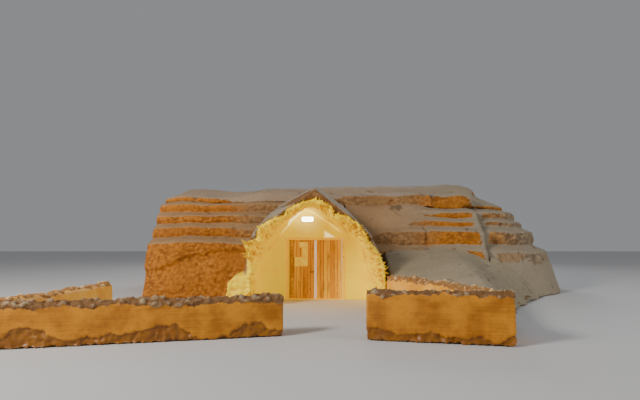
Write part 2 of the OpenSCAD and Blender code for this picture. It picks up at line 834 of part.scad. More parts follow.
// A rounded block drawn as a section that runs forward along -Y
module rounded_plate(w, h, d, r) {
    rotate([90, 0, 0])
        linear_extrude(d)
            union() {
                square([w - 2 * r, h], center = true);
                square([w, h - 2 * r], center = true);
                for (sx = [-1, 1], sz = [-1, 1])
                    translate([sx * (w / 2 - r), sz * (h / 2 - r)]) circle(r);
            }
}

module lamp_housing() {
    color(white)
        translate([-lamp_lean, 0, lamp_z])
            rounded_plate(lamp_w, lamp_h, lamp_base_d, lamp_h * 0.3);
}

module lamp_cover() {
    w = lamp_w - 2 * lamp_rim;
    h = lamp_h - 2 * lamp_rim;
    color("white")
        translate([-lamp_lean, -lamp_base_d, lamp_z]) {
            rounded_plate(w, h, lamp_cover_d * 0.6, h * 0.3);
            rounded_plate(w - 2 * lamp_rim, h - 2 * lamp_rim, lamp_cover_d, h * 0.2);
        }
}

// Corners of the forecourt's walls on the ground, as [X, Y]
gate_left = [-620, -6140];
corner_left = [-5900, -7400];
side_start = [-6100, -7100];
side_end = [-5760, -3600];
gate_right = [1100, -6540];
corner_right = [3900, -7150];

// A low wall between two points, battered and with a rounded crust, its front on the line
module low_wall(from, to, height, thick) {
    run = to - from;
    translate([from[0], from[1], 0])
        rotate([0, 0, atan2(run[1], run[0])])
            along(0, norm(run))
                polygon([
                    [0, 0], [thick, 0],
                    [thick - wall_batter, height - wall_crust],
                    [thick * 0.72, height - wall_crust * 0.2],
                    [thick * 0.5, height],
                    [thick * 0.24, height - wall_crust * 0.15],
                    [wall_batter, height - wall_crust]]);
}

module front_wall_left() {
    color(ice) low_wall(corner_left, gate_left, front_left_h, front_wall_t);
}

module front_wall_right() {
    color(ice) low_wall(gate_right, corner_right, front_right_h, front_wall_t);
}

module side_wall() {
    color(ice)
        difference() {
            low_wall(side_end, side_start, side_wall_h, side_wall_t);
            low_wall(corner_left, gate_left, front_left_h, front_wall_t);
        }
}

// Line of the court wall's face, from the porch to the front wall
court_line = [[2150, -porch_d - bed], [2560, -2900], [3180, -4100], [3520, -5400], [3640, -6900]];

// The court wall's plan at a distance behind its face
function court_back(d) =
    [for (i = [0 : len(court_line) - 1])
        let (
            a = court_line[max(0, i - 1)],
            b = court_line[min(len(court_line) - 1, i + 1)],
            run = (b - a) / norm(b - a))
        i == 0 ? [court_line[0][0] + d, court_line[0][1]]
               : court_line[i] + d * [-run[1], run[0]]];

// Plan of the court wall, from its face to a distance behind its back
module court_plan(behind) {
    polygon(concat(court_line, reverse(court_back(court_wall_t + behind))));
}

module court_wall() {
    color(ice)
        difference() {
            linear_extrude(court_wall_h) court_plan(0);
            low_wall(gate_right, corner_right, front_right_h, front_wall_t);
        }
}

// The bank's surface runs from its toe up to the hall, u along the front and v to the hall
bank_u = spread(0, 1, 15);
bank_v = spread(0, 1, 9);
// Where along u the bank leaves the court wall
bank_free_u = 0.5;
bank_corner = court_back(court_wall_t + bed)[len(court_line) - 1] + [0, front_wall_t];
bank_end = [right_run + bank_past_end, hall_y - 0.9 * hall_half];

function bank_toe(u) =
    let (
        middle = court_back(court_wall_t / 2),
        last = len(middle) - 1,
        t = u / bank_free_u * last,
        i = min(last - 1, floor(t)),
        k = (u - bank_free_u) / (1 - bank_free_u),
        along_wall = mix(middle[i], i == last - 1 ? bank_corner : middle[i + 1], t - i),
        run = bank_end - bank_corner,
        bow = bank_bow * [-run[1], run[0]] / norm(run) * sin(180 * k))
    u <= bank_free_u ? along_wall : mix(bank_corner, bank_end, k) + bow;

function bank_back(u) =
    [mix(porch_out_half + wall_crust, right_run + 0.8 * bank_past_end, u),
     hall_y - hall_half * mix(0.875, 0.65, pow(u, 4))];

function bank_top(u, v) =
    let (
        by_wall = court_wall_h - bank_edge,
        fall = min(1, (u - bank_free_u) / 0.18),
        toe = u < bank_free_u ? by_wall : mix(by_wall, bank_edge, fall),
        high = bank_h * mix(1, bank_fall, pow(u, 3)))
    mix(toe, high, v * (0.55 + 0.45 * v)) + bank_edge / 2 * sin(700 * u + 200 * v) * sin(180 * v);

module snow_bank() {
    color(powder)
        difference() {
            between(
                [for (v = bank_v) [for (u = bank_u)
                    let (p = mix(bank_toe(u), bank_back(u), v)) [p[0], p[1], 0]]],
                [for (v = bank_v) [for (u = bank_u)
                    let (p = mix(bank_toe(u), bank_back(u), v)) [p[0], p[1], bank_top(u, v)]]]);
            linear_extrude(2 * court_wall_h) court_plan(bed);
            hall_mass();
            round_mass();
        }
}

front_left_lift(1);  // front_left_lift_1
front_left_lift(2);  // front_left_lift_2
front_left_lift(3);  // front_left_lift_3
front_left_lift(4);  // front_left_lift_4
front_right_lift(1);  // front_right_lift_1
front_right_lift(2);  // front_right_lift_2
front_right_lift(3);  // front_right_lift_3
front_right_lift(4);  // front_right_lift_4
back_lift(1);  // back_lift_1
back_lift(2);  // back_lift_2
back_lift(3);  // back_lift_3
back_lift(4);  // back_lift_4
round_end_lift(1);  // round_end_lift_1
round_end_lift(2);  // round_end_lift_2
round_end_lift(3);  // round_end_lift_3
round_end_lift(4);  // round_end_lift_4
left_end_wall();
passage_arch();
crown_left();
crown_right();
crown_dome();
roof_snow();
roof_drape();
wing_drift();
porch_left_wall();
porch_vault_left();
porch_vault_right();
porch_right_wall();
door_wall_left();
door_wall_right();
door_wall_over();
porch_roof_left();
porch_roof_right();
side_block();
door_frame();
left_leaf();
right_leaf();
left_hinges();
right_hinges();
hinge_pins();
door_handle();
lamp_housing();
lamp_cover();
front_wall_left();
front_wall_right();
side_wall();
court_wall();
snow_bank();
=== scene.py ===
import math
import random
import bmesh
import bpy
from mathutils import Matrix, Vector


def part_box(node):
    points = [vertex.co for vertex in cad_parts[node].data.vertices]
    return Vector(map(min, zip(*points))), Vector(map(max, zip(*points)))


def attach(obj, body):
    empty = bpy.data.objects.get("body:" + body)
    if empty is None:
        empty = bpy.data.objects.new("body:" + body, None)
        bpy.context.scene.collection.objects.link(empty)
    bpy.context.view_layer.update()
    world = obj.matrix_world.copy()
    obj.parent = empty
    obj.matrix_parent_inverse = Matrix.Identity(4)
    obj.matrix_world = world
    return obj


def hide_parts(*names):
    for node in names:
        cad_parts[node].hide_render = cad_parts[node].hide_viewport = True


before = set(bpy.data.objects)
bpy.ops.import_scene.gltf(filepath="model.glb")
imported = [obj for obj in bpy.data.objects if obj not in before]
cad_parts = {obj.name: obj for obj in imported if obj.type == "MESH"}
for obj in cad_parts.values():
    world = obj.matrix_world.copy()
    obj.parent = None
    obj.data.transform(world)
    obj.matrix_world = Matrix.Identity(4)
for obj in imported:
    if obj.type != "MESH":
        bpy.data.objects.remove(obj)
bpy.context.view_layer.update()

scene = bpy.context.scene

# Camera: stands 16 m in front of the door at eye height, tilted up a little, with a wide lens.
# The lens and the tilt are given in pixels of a frame 640 wide.
frame_width, focal_length, horizon_drop = 640, 450, 41.8
sensor_width = 36.0
camera_data = bpy.data.cameras.new("Camera")
camera_data.sensor_fit = "HORIZONTAL"
camera_data.sensor_width = sensor_width
camera_data.lens = sensor_width * focal_length / frame_width
camera = bpy.data.objects.new("Camera", camera_data)
camera.location = (0.16, -15.9, 2.0)
camera.rotation_euler = (math.radians(90) + math.atan(horizon_drop / focal_length), 0, 0)
scene.collection.objects.link(camera)
scene.camera = camera


# Floor and light: a plain pale floor, a large soft light from the front left, a weaker one from
# the right, one from behind and an even sky.
def new_object(name, data):
    obj = bpy.data.objects.new(name, data)
    scene.collection.objects.link(obj)
    return obj


floor_reach = 80
floor_mesh = bpy.data.meshes.new("floor")
floor_mesh.from_pydata([(i * floor_reach, j * floor_reach, 0)
                        for i, j in ((-1, -1), (1, -1), (1, 1), (-1, 1))], [], [(0, 1, 2, 3)])
floor = new_object("floor", floor_mesh)
floor_paint = bpy.data.materials.new("floor")
floor_paint.use_nodes = True
floor_shader = floor_paint.node_tree.nodes["Principled BSDF"]
floor_shader.inputs["Base Color"].default_value = (0.62, 0.61, 0.6, 1)
floor_shader.inputs["Roughness"].default_value = 0.9
floor_mesh.materials.append(floor_paint)

world = bpy.data.worlds.new("World")
scene.world = world
world.use_nodes = True
sky = world.node_tree.nodes["Background"]
sky.inputs["Color"].default_value = (0.78, 0.8, 0.84, 1)
sky.inputs["Strength"].default_value = 0.34


def soft_light(name, place, aim, size, power, colour):
    data = bpy.data.lights.new(name, "AREA")
    data.shape = "DISK"
    data.size = size
    data.energy = power
    data.color = colour
    obj = new_object(name, data)
    obj.location = place
    obj.rotation_euler = (Vector(aim) - Vector(place)).to_track_quat("-Z", "Y").to_euler()


soft_light("key light", place=(-17, -17, 13), aim=(0, 1, 1.5), size=6, power=5200,
           colour=(1.0, 0.96, 0.9))
soft_light("side light", place=(20, -12, 8), aim=(2, 2, 1.5), size=10, power=1200,
           colour=(0.9, 0.95, 1.0))
soft_light("rim light", place=(4, 22, 14), aim=(0, 3, 3), size=10, power=1500,
           colour=(0.95, 0.97, 1.0))


# Hall wings: the long front walls on either side of the porch, four lifts of packed snow each.
# They were packed by machine over a mould, and the weather has rounded their noses and left loose
# snow on their ledges. Each wing is one skin over its lifts.
def new_mesh(name, bm):
    mesh = bpy.data.meshes.new(name)
    bm.to_mesh(mesh)
    bm.free()
    return mesh


def baked(obj):
    """Turns the modified shape of an object into its plain mesh."""
    graph = bpy.context.evaluated_depsgraph_get()
    mesh = bpy.data.meshes.new_from_object(obj.evaluated_get(graph))
    obj.modifiers.clear()
    old = obj.data
    obj.data = mesh
    bpy.data.meshes.remove(old)
    return obj


def skin_over(name, nodes, step):
    """One closed skin over copies of the nodes, with facets of the given step."""
    bm = bmesh.new()
    for node in nodes:
        bm.from_mesh(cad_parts[node].data)
    bmesh.ops.remove_doubles(bm, verts=bm.verts, dist=1e-5)
    obj = new_object(name, new_mesh(name, bm))
    skin = obj.modifiers.new("skin", "REMESH")
    skin.mode = "VOXEL"
    skin.voxel_size = step
    skin.use_smooth_shade = True
    return baked(obj)


class Tree:
    """A node tree that is filled one node at a time."""

    def __init__(self, tree):
        self.tree = tree

    def fill(self, node, inputs):
        """Links the inputs that are given a socket and sets the ones that are given a value."""
        for key, value in inputs.items() if isinstance(inputs, dict) else enumerate(inputs):
            if isinstance(value, bpy.types.NodeSocket):
                self.tree.links.new(value, node.inputs[key])
            else:
                node.inputs[key].default_value = value

    def add(self, kind, inputs=(), **settings):
        node = self.tree.nodes.new(kind)
        for key, value in settings.items():
            setattr(node, key, value)
        self.fill(node, inputs)
        return node

    def math(self, operation, *values, clamp=False):
        """One operation on one or two values; plus, minus, times and greatest take any number."""
        return self.add("ShaderNodeMath", values, operation=operation, use_clamp=clamp).outputs[0]

    def chain(self, operation, first, *others):
        for other in others:
            first = self.math(operation, first, other)
        return first

    def plus(self, *values):
        return self.chain("ADD", *values)

    def minus(self, *values):
        return self.chain("SUBTRACT", *values)

    def times(self, *values):
        return self.chain("MULTIPLY", *values)

    def greatest(self, *values):
        return self.chain("MAXIMUM", *values)

    def absolute(self, value):
        return self.math("ABSOLUTE", value)

    def vector(self, operation, *values):
        node = self.add("ShaderNodeVectorMath", operation=operation)
        self.fill(node, dict(zip((0, 3) if operation == "SCALE" else (0, 1), values)))
        return node.outputs["Value" if operation == "DOT_PRODUCT" else "Vector"]

    def split(self, vector):
        return self.add("ShaderNodeSeparateXYZ", [vector]).outputs

    def point(self, x, y, z):
        return self.add("ShaderNodeCombineXYZ", [x, y, z]).outputs[0]

    def noise(self, place, scale, detail=2.0, rough=0.5, output=0):
        return self.add("ShaderNodeTexNoise", {"Vector": place, "Scale": scale, "Detail": detail,
                                               "Roughness": rough}).outputs[output]

    def swing(self, place, scale, detail, rough=0.5):
        """Noise that swings about zero."""
        return self.minus(self.noise(place, scale, detail, rough), 0.5)

    def stirred(self, place, scale, reach):
        """Places that a noise has moved, so that no pattern on them stays regular."""
        by = self.noise(place, scale, 3.0, output="Color")
        return self.vector("ADD", place, self.vector("SCALE", by, reach))

    def clods(self, place, scale, smooth):
        """Rounded cells, high in their middles."""
        cells = self.add("ShaderNodeTexVoronoi", {"Vector": place, "Scale": scale,
                                                  "Smoothness": smooth}, feature="SMOOTH_F1")
        return self.minus(0.42, cells.outputs["Distance"])

    def ramp(self, value, low, high, out_low=0.0, out_high=1.0):
        """Goes smoothly from out_low at low to out_high at high, and stays level beyond."""
        return self.add("ShaderNodeMapRange", {"Value": value, "From Min": low, "From Max": high,
                                               "To Min": out_low, "To Max": out_high},
                        interpolation_type="SMOOTHSTEP").outputs[0]

    def mixed(self, share, low, high):
        """The colour low where the share is 0 and high where it is 1."""
        low, high = (c if isinstance(c, bpy.types.NodeSocket) else (*c, 1) for c in (low, high))
        return self.add("ShaderNodeMix", {"Factor": share, 6: low, 7: high},
                        data_type="RGBA").outputs[2]

    def store(self, geometry, name, value):
        return self.add("GeometryNodeStoreNamedAttribute", {
            "Geometry": geometry, "Name": name, "Value": value}, domain="POINT").outputs[0]

    def stored(self, name):
        """An attribute, as a geometry tree reads it."""
        return self.add("GeometryNodeInputNamedAttribute", {"Name": name}).outputs[0]

    def painted(self, name):
        """An attribute, as a material reads it."""
        return self.add("ShaderNodeAttribute", attribute_name=name).outputs["Fac"]

    def moved(self, geometry, shift):
        """The skin with its points shifted, shaded smooth."""
        put = self.add("GeometryNodeSetPosition", {"Geometry": geometry, "Offset": shift})
        return self.add("GeometryNodeSetShadeSmooth", {"Geometry": put.outputs[0]}).outputs[0]

    def dent(self, strength, distance, height):
        return self.add("ShaderNodeBump", {"Strength": strength, "Distance": distance,
                                           "Height": height}).outputs[0]


def group_tree(title, inputs):
    """A geometry group with the given float inputs, and one each for a scattered piece and the
    finish, with the place and the normal of its points."""
    group = bpy.data.node_groups.new(title, "GeometryNodeTree")
    group.interface.new_socket("Geometry", in_out="INPUT", socket_type="NodeSocketGeometry")
    for name, value in inputs.items():
        socket = group.interface.new_socket(name, in_out="INPUT", socket_type="NodeSocketFloat")
        socket.default_value = value
    group.interface.new_socket("Scattered", in_out="INPUT", socket_type="NodeSocketObject")
    group.interface.new_socket("Finish", in_out="INPUT", socket_type="NodeSocketMaterial")
    group.interface.new_socket("Geometry", in_out="OUTPUT", socket_type="NodeSocketGeometry")
    t = Tree(group)
    place = t.add("GeometryNodeInputPosition").outputs[0]
    return t, t.add("NodeGroupInput").outputs, place, t.add("GeometryNodeInputNormal").outputs[0]


def scattered(t, surface, density, given, lean, smallest, largest, attribute, skew=1.0):
    """The scattered piece, set on a surface with its own up turned along lean; a high skew makes
    most of them small."""
    def drawn(low, high, seed):
        is_vector = isinstance(low, tuple)
        kind, first, output = ("FLOAT_VECTOR", 0, 0) if is_vector else ("FLOAT", 2, 1)
        return t.add("FunctionNodeRandomValue", {first: low, first + 1: high, "Seed": seed},
                     data_type=kind).outputs[output]

    full_turn = 6.28
    points = t.add("GeometryNodeDistributePointsOnFaces", {"Mesh": surface, "Density": density,
                                                           "Seed": 5})
    stray = drawn((-0.4, -0.4, -0.4), (0.4, 0.4, 0.4), 3)  # off the lean, in each direction
    aimed = t.add("FunctionNodeAlignRotationToVector", {"Vector": t.vector("ADD", lean, stray)},
                  axis="Z").outputs[0]
    spin = t.add("FunctionNodeAxisAngleToRotation", {"Axis": (0.0, 0.0, 1.0),
                                                     "Angle": drawn(0.0, full_turn, 4)}).outputs[0]
    aimed = t.add("FunctionNodeRotateRotation", [aimed, spin], rotation_space="LOCAL").outputs[0]
    share = t.math("POWER", drawn(0.0, 1.0, 8), skew)
    size = t.plus(smallest, t.times(share, t.minus(largest, smallest)))
    size = t.vector("SCALE", drawn((0.6, 0.6, 0.5), (1.25, 1.25, 1.1), 11), size)
    piece = t.add("GeometryNodeObjectInfo", {"Object": given["Scattered"]}).outputs["Geometry"]
    pieces = t.add("GeometryNodeInstanceOnPoints", {
        "Points": points.outputs[0], "Instance": piece, "Rotation": aimed, "Scale": size})
    loose = t.add("GeometryNodeRealizeInstances", [pieces.outputs[0]])
    return t.store(loose.outputs[0], attribute, 1.0)


def finished(t, parts, given):
    """Joins the parts, keeps them at or over floor level and gives them their finish."""
    joined = t.add("GeometryNodeJoinGeometry")
    for part in parts:
        t.tree.links.new(part, joined.inputs[0])
    x, y, z = t.split(t.add("GeometryNodeInputPosition").outputs[0])
    rested = t.add("GeometryNodeSetPosition", {
        "Geometry": joined.outputs[0], "Position": t.point(x, y, t.greatest(z, 0.0))})
    whole = t.add("GeometryNodeRealizeInstances", [rested.outputs[0]])
    done = t.add("GeometryNodeSetMaterial", {"Geometry": whole.outputs[0],
                                             "Material": given["Finish"]})
    t.add("NodeGroupOutput", [done.outputs[0]])
    return t.tree


def relief_tree():
    """Lumps, clods and settled powder over a skin of snow, with pits, a crease along the foot, a
    joint and a weathered end where they are asked for."""
    off = 99.0  # so far away that nothing of it shows
    t, given, place, normal = group_tree("snow relief", {
        "Lump size": 1.1, "Lump height": 0.05, "Clod size": 0.16, "Clod height": 0.05,
        "Grain height": 0.02, "Rubble height": 0.0, "Powder depth": 0.02, "Powder level": 0.5,
        "Wander": 0.0, "Dust and shade from": -off, "Dust and shade to": -off, "Dust and shade slope": 0.0,
        "Drifted to": -off, "Drifted behind": off, "Drifted at": -off,
        "Joint at": -off, "Joint depth": 0.0, "End at": -off, "End lean": 0.0, "End round": 0.0,
        "Hall middle": 0.0, "Crease": 0.0, "Holes": 0.0, "Crumbs": 0.0, "Crumb size": 0.05})
    x, y, z = t.split(place)
    up = t.split(normal)[2]
    level = given["Powder level"]

    # Four sizes of unevenness: lumps, rubble, clods that come in patches, and grain.
    lumps = t.swing(place, t.math("DIVIDE", 1.0, given["Lump size"]), 2.0)
    bent = t.stirred(place, 4.0, 0.16)
    flat = t.vector("MULTIPLY", bent, (0.8, 0.8, 1.3))
    patchy = t.ramp(t.noise(place, 1.3, 3.0), 0.38, 0.62, 0.25, 1.3)
    clods = t.times(t.clods(flat, t.math("DIVIDE", 1.0, given["Clod size"]), 0.4), patchy)
    rubble = t.times(t.clods(bent, 2.4, 0.25), t.ramp(t.noise(place, 0.9, 2.0), 0.42, 0.6))
    grain = t.swing(place, 9.0, 5.0, 0.62)

    # Powder lies on what looks up, and as dust between two places, low down, at the back and at
    # a corner. The dust between two places is partly painted shade, which greys what it covers.
    wander = t.plus(t.times(t.swing(place, 1.3, 3.0), 0.8), t.times(clods, 0.35))
    dust_and_shade_end = t.plus(given["Dust and shade to"], t.times(z, given["Dust and shade slope"]))
    dust_and_shade = t.times(t.ramp(t.minus(x, given["Dust and shade from"]), -0.6, 0.4),
                   t.ramp(t.minus(x, dust_and_shade_end), 0.45, -0.35))
    dust_and_shade = t.greatest(dust_and_shade, t.ramp(t.minus(z, given["Drifted to"]), 0.1, -0.9))
    dust_and_shade = t.greatest(dust_and_shade, t.ramp(t.minus(y, given["Drifted behind"]), -0.4, 0.6))
    off_corner = t.absolute(t.plus(t.minus(x, given["Drifted at"]), t.times(clods, 0.2)))
    dust_and_shade = t.greatest(dust_and_shade, t.ramp(off_corner, 0.36, 0.14))
    dust_and_shade = t.times(dust_and_shade, t.ramp(t.noise(place, 1.1, 3.0), 0.3, 0.6, 0.7, 1.1))
    ledge = t.ramp(t.plus(up, wander, dust_and_shade), t.minus(level, 0.14), t.plus(level, 0.14))

    # Height over the skin: rough where it is bare, pitted in patches, with the crease low on the
    # front and the joint between two lengths of packing.
    bare = t.minus(1.0, t.times(ledge, 0.88))
    rough = t.plus(t.times(clods, given["Clod height"]), t.times(grain, given["Grain height"]),
                   t.times(rubble, given["Rubble height"]))
    height = t.plus(t.times(lumps, 2.0, given["Lump height"]), t.times(rough, bare))
    pits = t.times(t.ramp(t.noise(place, 1.15, 2.0), 0.59, 0.66),
                   t.ramp(t.swing(place, 4.0, 3.0), 0.0, 0.1))
    height = t.minus(height, t.times(pits, given["Holes"]))
    crease_low, crease_rise = 1.0, 0.75
    crease_z = t.plus(crease_low, t.times(t.ramp(x, -6.6, -3.0), crease_rise))
    under = t.minus(t.plus(crease_z, t.times(t.swing(place, 1.1, 3.0), 0.3)), z)
    crease = t.times(t.ramp(under, -0.05, 0.12), t.ramp(under, 1.0, 0.15))
    on_front = t.ramp(y, 1.2, 0.8)
    height = t.minus(height, t.times(crease, on_front, given["Crease"]))
    joint_z = 2.2
    off_joint = t.absolute(t.plus(t.minus(x, given["Joint at"]),
                                  t.times(t.swing(place, 2.5, 2.0), 0.3)))
    joint = t.times(t.ramp(off_joint, 0.1, 0.0),
                    t.ramp(t.absolute(t.minus(z, joint_z)), 0.45, 0.3))
    height = t.minus(height, t.times(joint, given["Joint depth"]))
    shift = t.vector("ADD", t.vector("SCALE", normal, height),
                     t.point(0.0, 0.0, t.times(ledge, given["Powder depth"])))

    # Slow bends of the lifts, and the weathered end, which leans in and is rounded at its corners.
    drift = t.vector("SUBTRACT", t.noise(place, 0.42, 1.5, output="Color"), (0.5, 0.5, 0.5))
    drift = t.vector("MULTIPLY", drift, (0.0, 3.2, 3.2))  # in depth and height, not along the wall
    drift = t.vector("SCALE", drift, t.times(given["Wander"], t.ramp(z, 0.0, 0.9)))
    from_end = t.minus(x, given["End at"])
    leant = t.times(t.ramp(from_end, 1.5, 0.0), t.ramp(z, 0.6, 2.6), given["End lean"])
    corner = t.math("POWER", t.ramp(from_end, 1.1, -0.4), 2.0)
    inward = t.times(t.minus(given["Hall middle"], y), t.times(corner, given["End round"]))
    end_drop = -0.3
    lowered = t.times(corner, t.ramp(z, 3.4, 4.4), end_drop)
    lowered = t.times(lowered, t.math("GREATER_THAN", given["End round"], 0.0))
    shift = t.vector("ADD", shift, t.point(leant, inward, lowered))

    skin = t.store(given["Geometry"], "ledge", ledge)
    skin = t.store(skin, "pits", pits)
    skin = t.store(skin, "nose", t.ramp(up, -0.05, 0.3))
    skin = t.store(skin, "relief", t.plus(t.times(clods, 1.1), t.plus(
        t.times(grain, 0.8), t.times(rubble, t.times(given["Rubble height"], 4.0)))))
    moved = t.moved(skin, t.vector("ADD", shift, drift))

    # On the moved skin, up and place are read once more: powder also catches on its own bumps.
    caught = t.ramp(t.plus(up, t.times(t.swing(place, 6.0, 3.0), 0.5)), t.plus(level, 0.02),
                    t.plus(level, 0.3))
    caught = t.times(caught, t.plus(0.12, t.times(t.stored("nose"), 0.8)))
    moved = t.store(moved, "powder", t.greatest(t.stored("ledge"), caught))
    on_top = t.times(t.stored("powder"), t.times(t.ramp(t.noise(place, 1.6, 3.0), 0.5, 0.66),
                                                 given["Crumbs"]))
    crumbs = scattered(t, moved, on_top, given, lean=(0.0, 0.0, 0.6),
                       smallest=t.times(given["Crumb size"], 0.25), largest=given["Crumb size"],
                       attribute="powder", skew=2.5)
    return finished(t, [moved, crumbs], given)


snow_relief = relief_tree()


def lump_mesh():
    """A rough lump of snow, about two across."""
    bm = bmesh.new()
    bmesh.ops.create_icosphere(bm, subdivisions=2, radius=1.0)
    chance = random.Random(4)
    for v in bm.verts:
        v.co *= chance.uniform(0.6, 1.15)
    return new_mesh("lump", bm)


lump = new_object("lump", lump_mesh())


def set_inputs(obj, group, values):
    modifier = obj.modifiers.new("relief", "NODES")
    modifier.node_group = group
    for item in group.interface.items_tree:
        if item.in_out == "INPUT" and item.name in values:
            modifier[item.identifier] = values[item.name]
    obj.update_tag()
    baked(obj)


def new_finish(name):
    paint = bpy.data.materials.new(name)
    paint.use_nodes = True
    t = Tree(paint.node_tree)
    place = t.add("ShaderNodeTexCoord").outputs["Object"]
    return paint, t, paint.node_tree.nodes["Principled BSDF"], place


def toned(colour, share):
    return tuple(c * share for c in colour)


def snow_finish(name, packed, deep, powder, bump=0.5, streaks=0.0, shade_colour=None, where=None):
    """Packed snow with painted shade in its hollows and pits, and loose powder where the attribute
    powder is high. With a shade colour, the faces where the mask is high are painted shaded, and
    the powder's painted lamp-light amber greys to the right."""
    paint, t, shader, place = new_finish(name)
    relief = t.painted("relief")
    broad = t.noise(place, 0.7, 3.0, 0.55)
    fine = t.noise(place, 9.0, 6.0, 0.65)
    tiny = t.noise(place, 42.0, 4.0, 0.6)
    # Darker in the hollows of the relief and lighter on its clods: painted shade.
    shade = t.plus(t.times(broad, 0.3), t.times(fine, 0.45), t.times(relief, 0.5))
    raised = t.ramp(shade, 0.14, 0.58)
    face = t.mixed(raised, deep, packed)
    snow = t.mixed(t.ramp(broad, 0.35, 0.65), powder, toned(powder, 1.16))
    snow = t.mixed(t.ramp(fine, 0.62, 0.36, 0.0, 0.3), snow, toned(powder, 0.7))
    # Painted shade on the faces where the mask is high; the powder's amber is painted lamp light
    # and greys to the right.
    if shade_colour:
        x, y, z = t.split(place)
        mask = t.math("ADD", where(t, x, y, z), t.minus(fine, 0.5), clamp=True)
        face = t.mixed(mask, face, t.mixed(raised, toned(shade_colour, 0.55), shade_colour))
        far_powder = (0.35, 0.272, 0.178)
        snow = t.mixed(t.ramp(t.plus(x, broad), 2.6, 6.4), snow, far_powder)
    frosted = t.ramp(t.plus(tiny, t.times(relief, 0.4)), 0.56, 0.76, 0.0, 0.5)
    face = t.mixed(frosted, face, powder)
    loose = t.ramp(t.plus(t.painted("powder"), t.times(t.minus(fine, 0.5), 1.1)), 0.3, 0.62)
    # Painted shade in the pits.
    hollow = t.mixed(loose, deep, toned(powder, 0.4))
    whole = t.mixed(t.times(t.painted("pits"), 0.8), t.mixed(loose, face, snow), hollow)
    grainy = t.plus(t.times(fine, 0.7), t.times(tiny, 0.3))
    if streaks:
        stretched = t.vector("MULTIPLY", place, (1.4, 7.0, 7.0))
        grainy = t.plus(grainy, t.times(t.noise(stretched, 1.0, 4.0), streaks))
    t.fill(shader, {"Base Color": whole, "Roughness": 0.85,
                    "Normal": t.dent(bump, distance=0.06, height=grainy)})
    return paint


def stand_for(obj, nodes):
    """Lets a piece of the house show in place of its nodes."""
    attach(obj, "snow_house")
    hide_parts(*nodes)


def snow_dressed(obj, nodes, finish, relief):
    set_inputs(obj, snow_relief, {**relief, "Scattered": lump, "Finish": finish})
    stand_for(obj, nodes)


def lifts(row):
    return [f"{row}_lift_{i}" for i in (1, 2, 3, 4)]


def beside_porch(t, x, y, z):
    """High on the upper lifts next to the porch, where little light reaches them."""
    left = t.times(t.ramp(x, -3.6, -2.4), t.ramp(z, 1.9, 2.6))
    near = t.times(t.ramp(x, 4.9, 3.3), t.greatest(left, t.ramp(x, 0.0, 0.5)))
    return t.times(near, t.ramp(y, 4.5, 3.5, 0.0, 0.95))


shaded_snow = (0.41, 0.215, 0.075)
# The amber of the packed faces is painted lamp light, and the greyer powder on their ledges is
# painted shade: the snow itself is white.
packed_finish = snow_finish("packed snow", packed=(0.6, 0.2, 0.005), deep=(0.3, 0.09, 0.003),
                            powder=(0.36, 0.205, 0.09), bump=0.6, streaks=0.4,
                            shade_colour=shaded_snow, where=beside_porch)
crown_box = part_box("crown_left")
hall_middle_y = (crown_box[0][1] + crown_box[1][1]) / 2
wall_relief = {"Lump size": 1.0, "Lump height": 0.04, "Clod size": 0.11, "Clod height": 0.05,
               "Grain height": 0.06, "Powder depth": 0.02, "Powder level": 0.5, "Wander": 0.1,
               "End at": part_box("front_left_lift_1")[0][0], "End lean": 0.14, "End round": 0.14,
               "Hall middle": hall_middle_y}
wing_step = 0.04
left_lifts = lifts("front_left") + ["passage_arch"]
snow_dressed(skin_over("left_wing", left_lifts, wing_step), left_lifts, packed_finish,
             {**wall_relief, "Crease": 0.09, "Dust and shade from": 0.5, "Dust and shade to": 4.0})


def weathered(obj, corner_x, turns):
    """Rounds what is sharp near the upright corner at corner_x, but for the foot; more turns
    round it more."""
    reach, foot_z = 0.6, 0.02
    group = obj.vertex_groups.new(name="corner")
    for v in obj.data.vertices:
        near = 1 - abs(v.co.x - corner_x) / reach
        if near > 0 and v.co.z > foot_z:
            group.add([v.index], min(1, 1.6 * near), "REPLACE")
    soft = obj.modifiers.new("soft", "SMOOTH")
    soft.factor = 0.8
    soft.iterations = turns
    soft.vertex_group = "corner"
    baked(obj)
    obj.vertex_groups.clear()
    return obj


right_corner_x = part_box("front_right_lift_1")[1][0]
right_lifts = lifts("front_right") + ["wing_drift"]
right_skin = weathered(skin_over("right_wing", right_lifts, wing_step), right_corner_x, turns=160)
snow_dressed(right_skin, right_lifts, packed_finish,
             {**wall_relief, "Dust and shade from": 0.5, "Dust and shade to": -4.47, "Dust and shade slope": 3.0,
              "Drifted at": right_corner_x, "Joint at": 4.07, "Joint depth": 0.1})


# Rounded end: the hall's right end, where the lifts are carried round in half rings. It is packed
# like the wings and bonded to the right one; the weather has left it rubbly and porous, and
# powder has drifted over its foot and its back.
def far_round(t, x, y, z):
    """High where the rounded end turns away from the front, and low down: painted shade lies there.
    """
    return t.greatest(t.ramp(x, 6.7, 8.3, 0.0, 0.9), t.ramp(z, 2.0, 1.5, 0.0, 0.7))


# The rounded end's amber is painted lamp light, and the grey where the mask is high is painted
# shade.
rubbly_finish = snow_finish("rubbly snow", packed=(0.6, 0.27, 0.06), deep=(0.28, 0.12, 0.03),
                            powder=(0.36, 0.285, 0.19), bump=0.8, streaks=0.3,
                            shade_colour=(0.37, 0.27, 0.16), where=far_round)
end_lifts = lifts("round_end")
snow_dressed(skin_over("rounded_end", end_lifts, step=0.05), end_lifts, rubbly_finish,
             {**wall_relief, "Clod height": 0.08, "Rubble height": 0.26, "Grain height": 0.09,
              "Powder level": 0.38, "Drifted to": 1.4, "Drifted at": right_corner_x,
              "Drifted behind": hall_middle_y + 0.6})

# Back wall and left end wall: the plain walls that close the hall behind and at the left. Both
# are snow packed over the same mould as the wings, and bonded to them; the left one leans in.
for name, nodes, step in (("back_wall", lifts("back"), 0.085),
                          ("left_end", ["left_end_wall"], 0.07)):
    snow_dressed(skin_over(name, nodes, step), nodes, packed_finish, wall_relief)
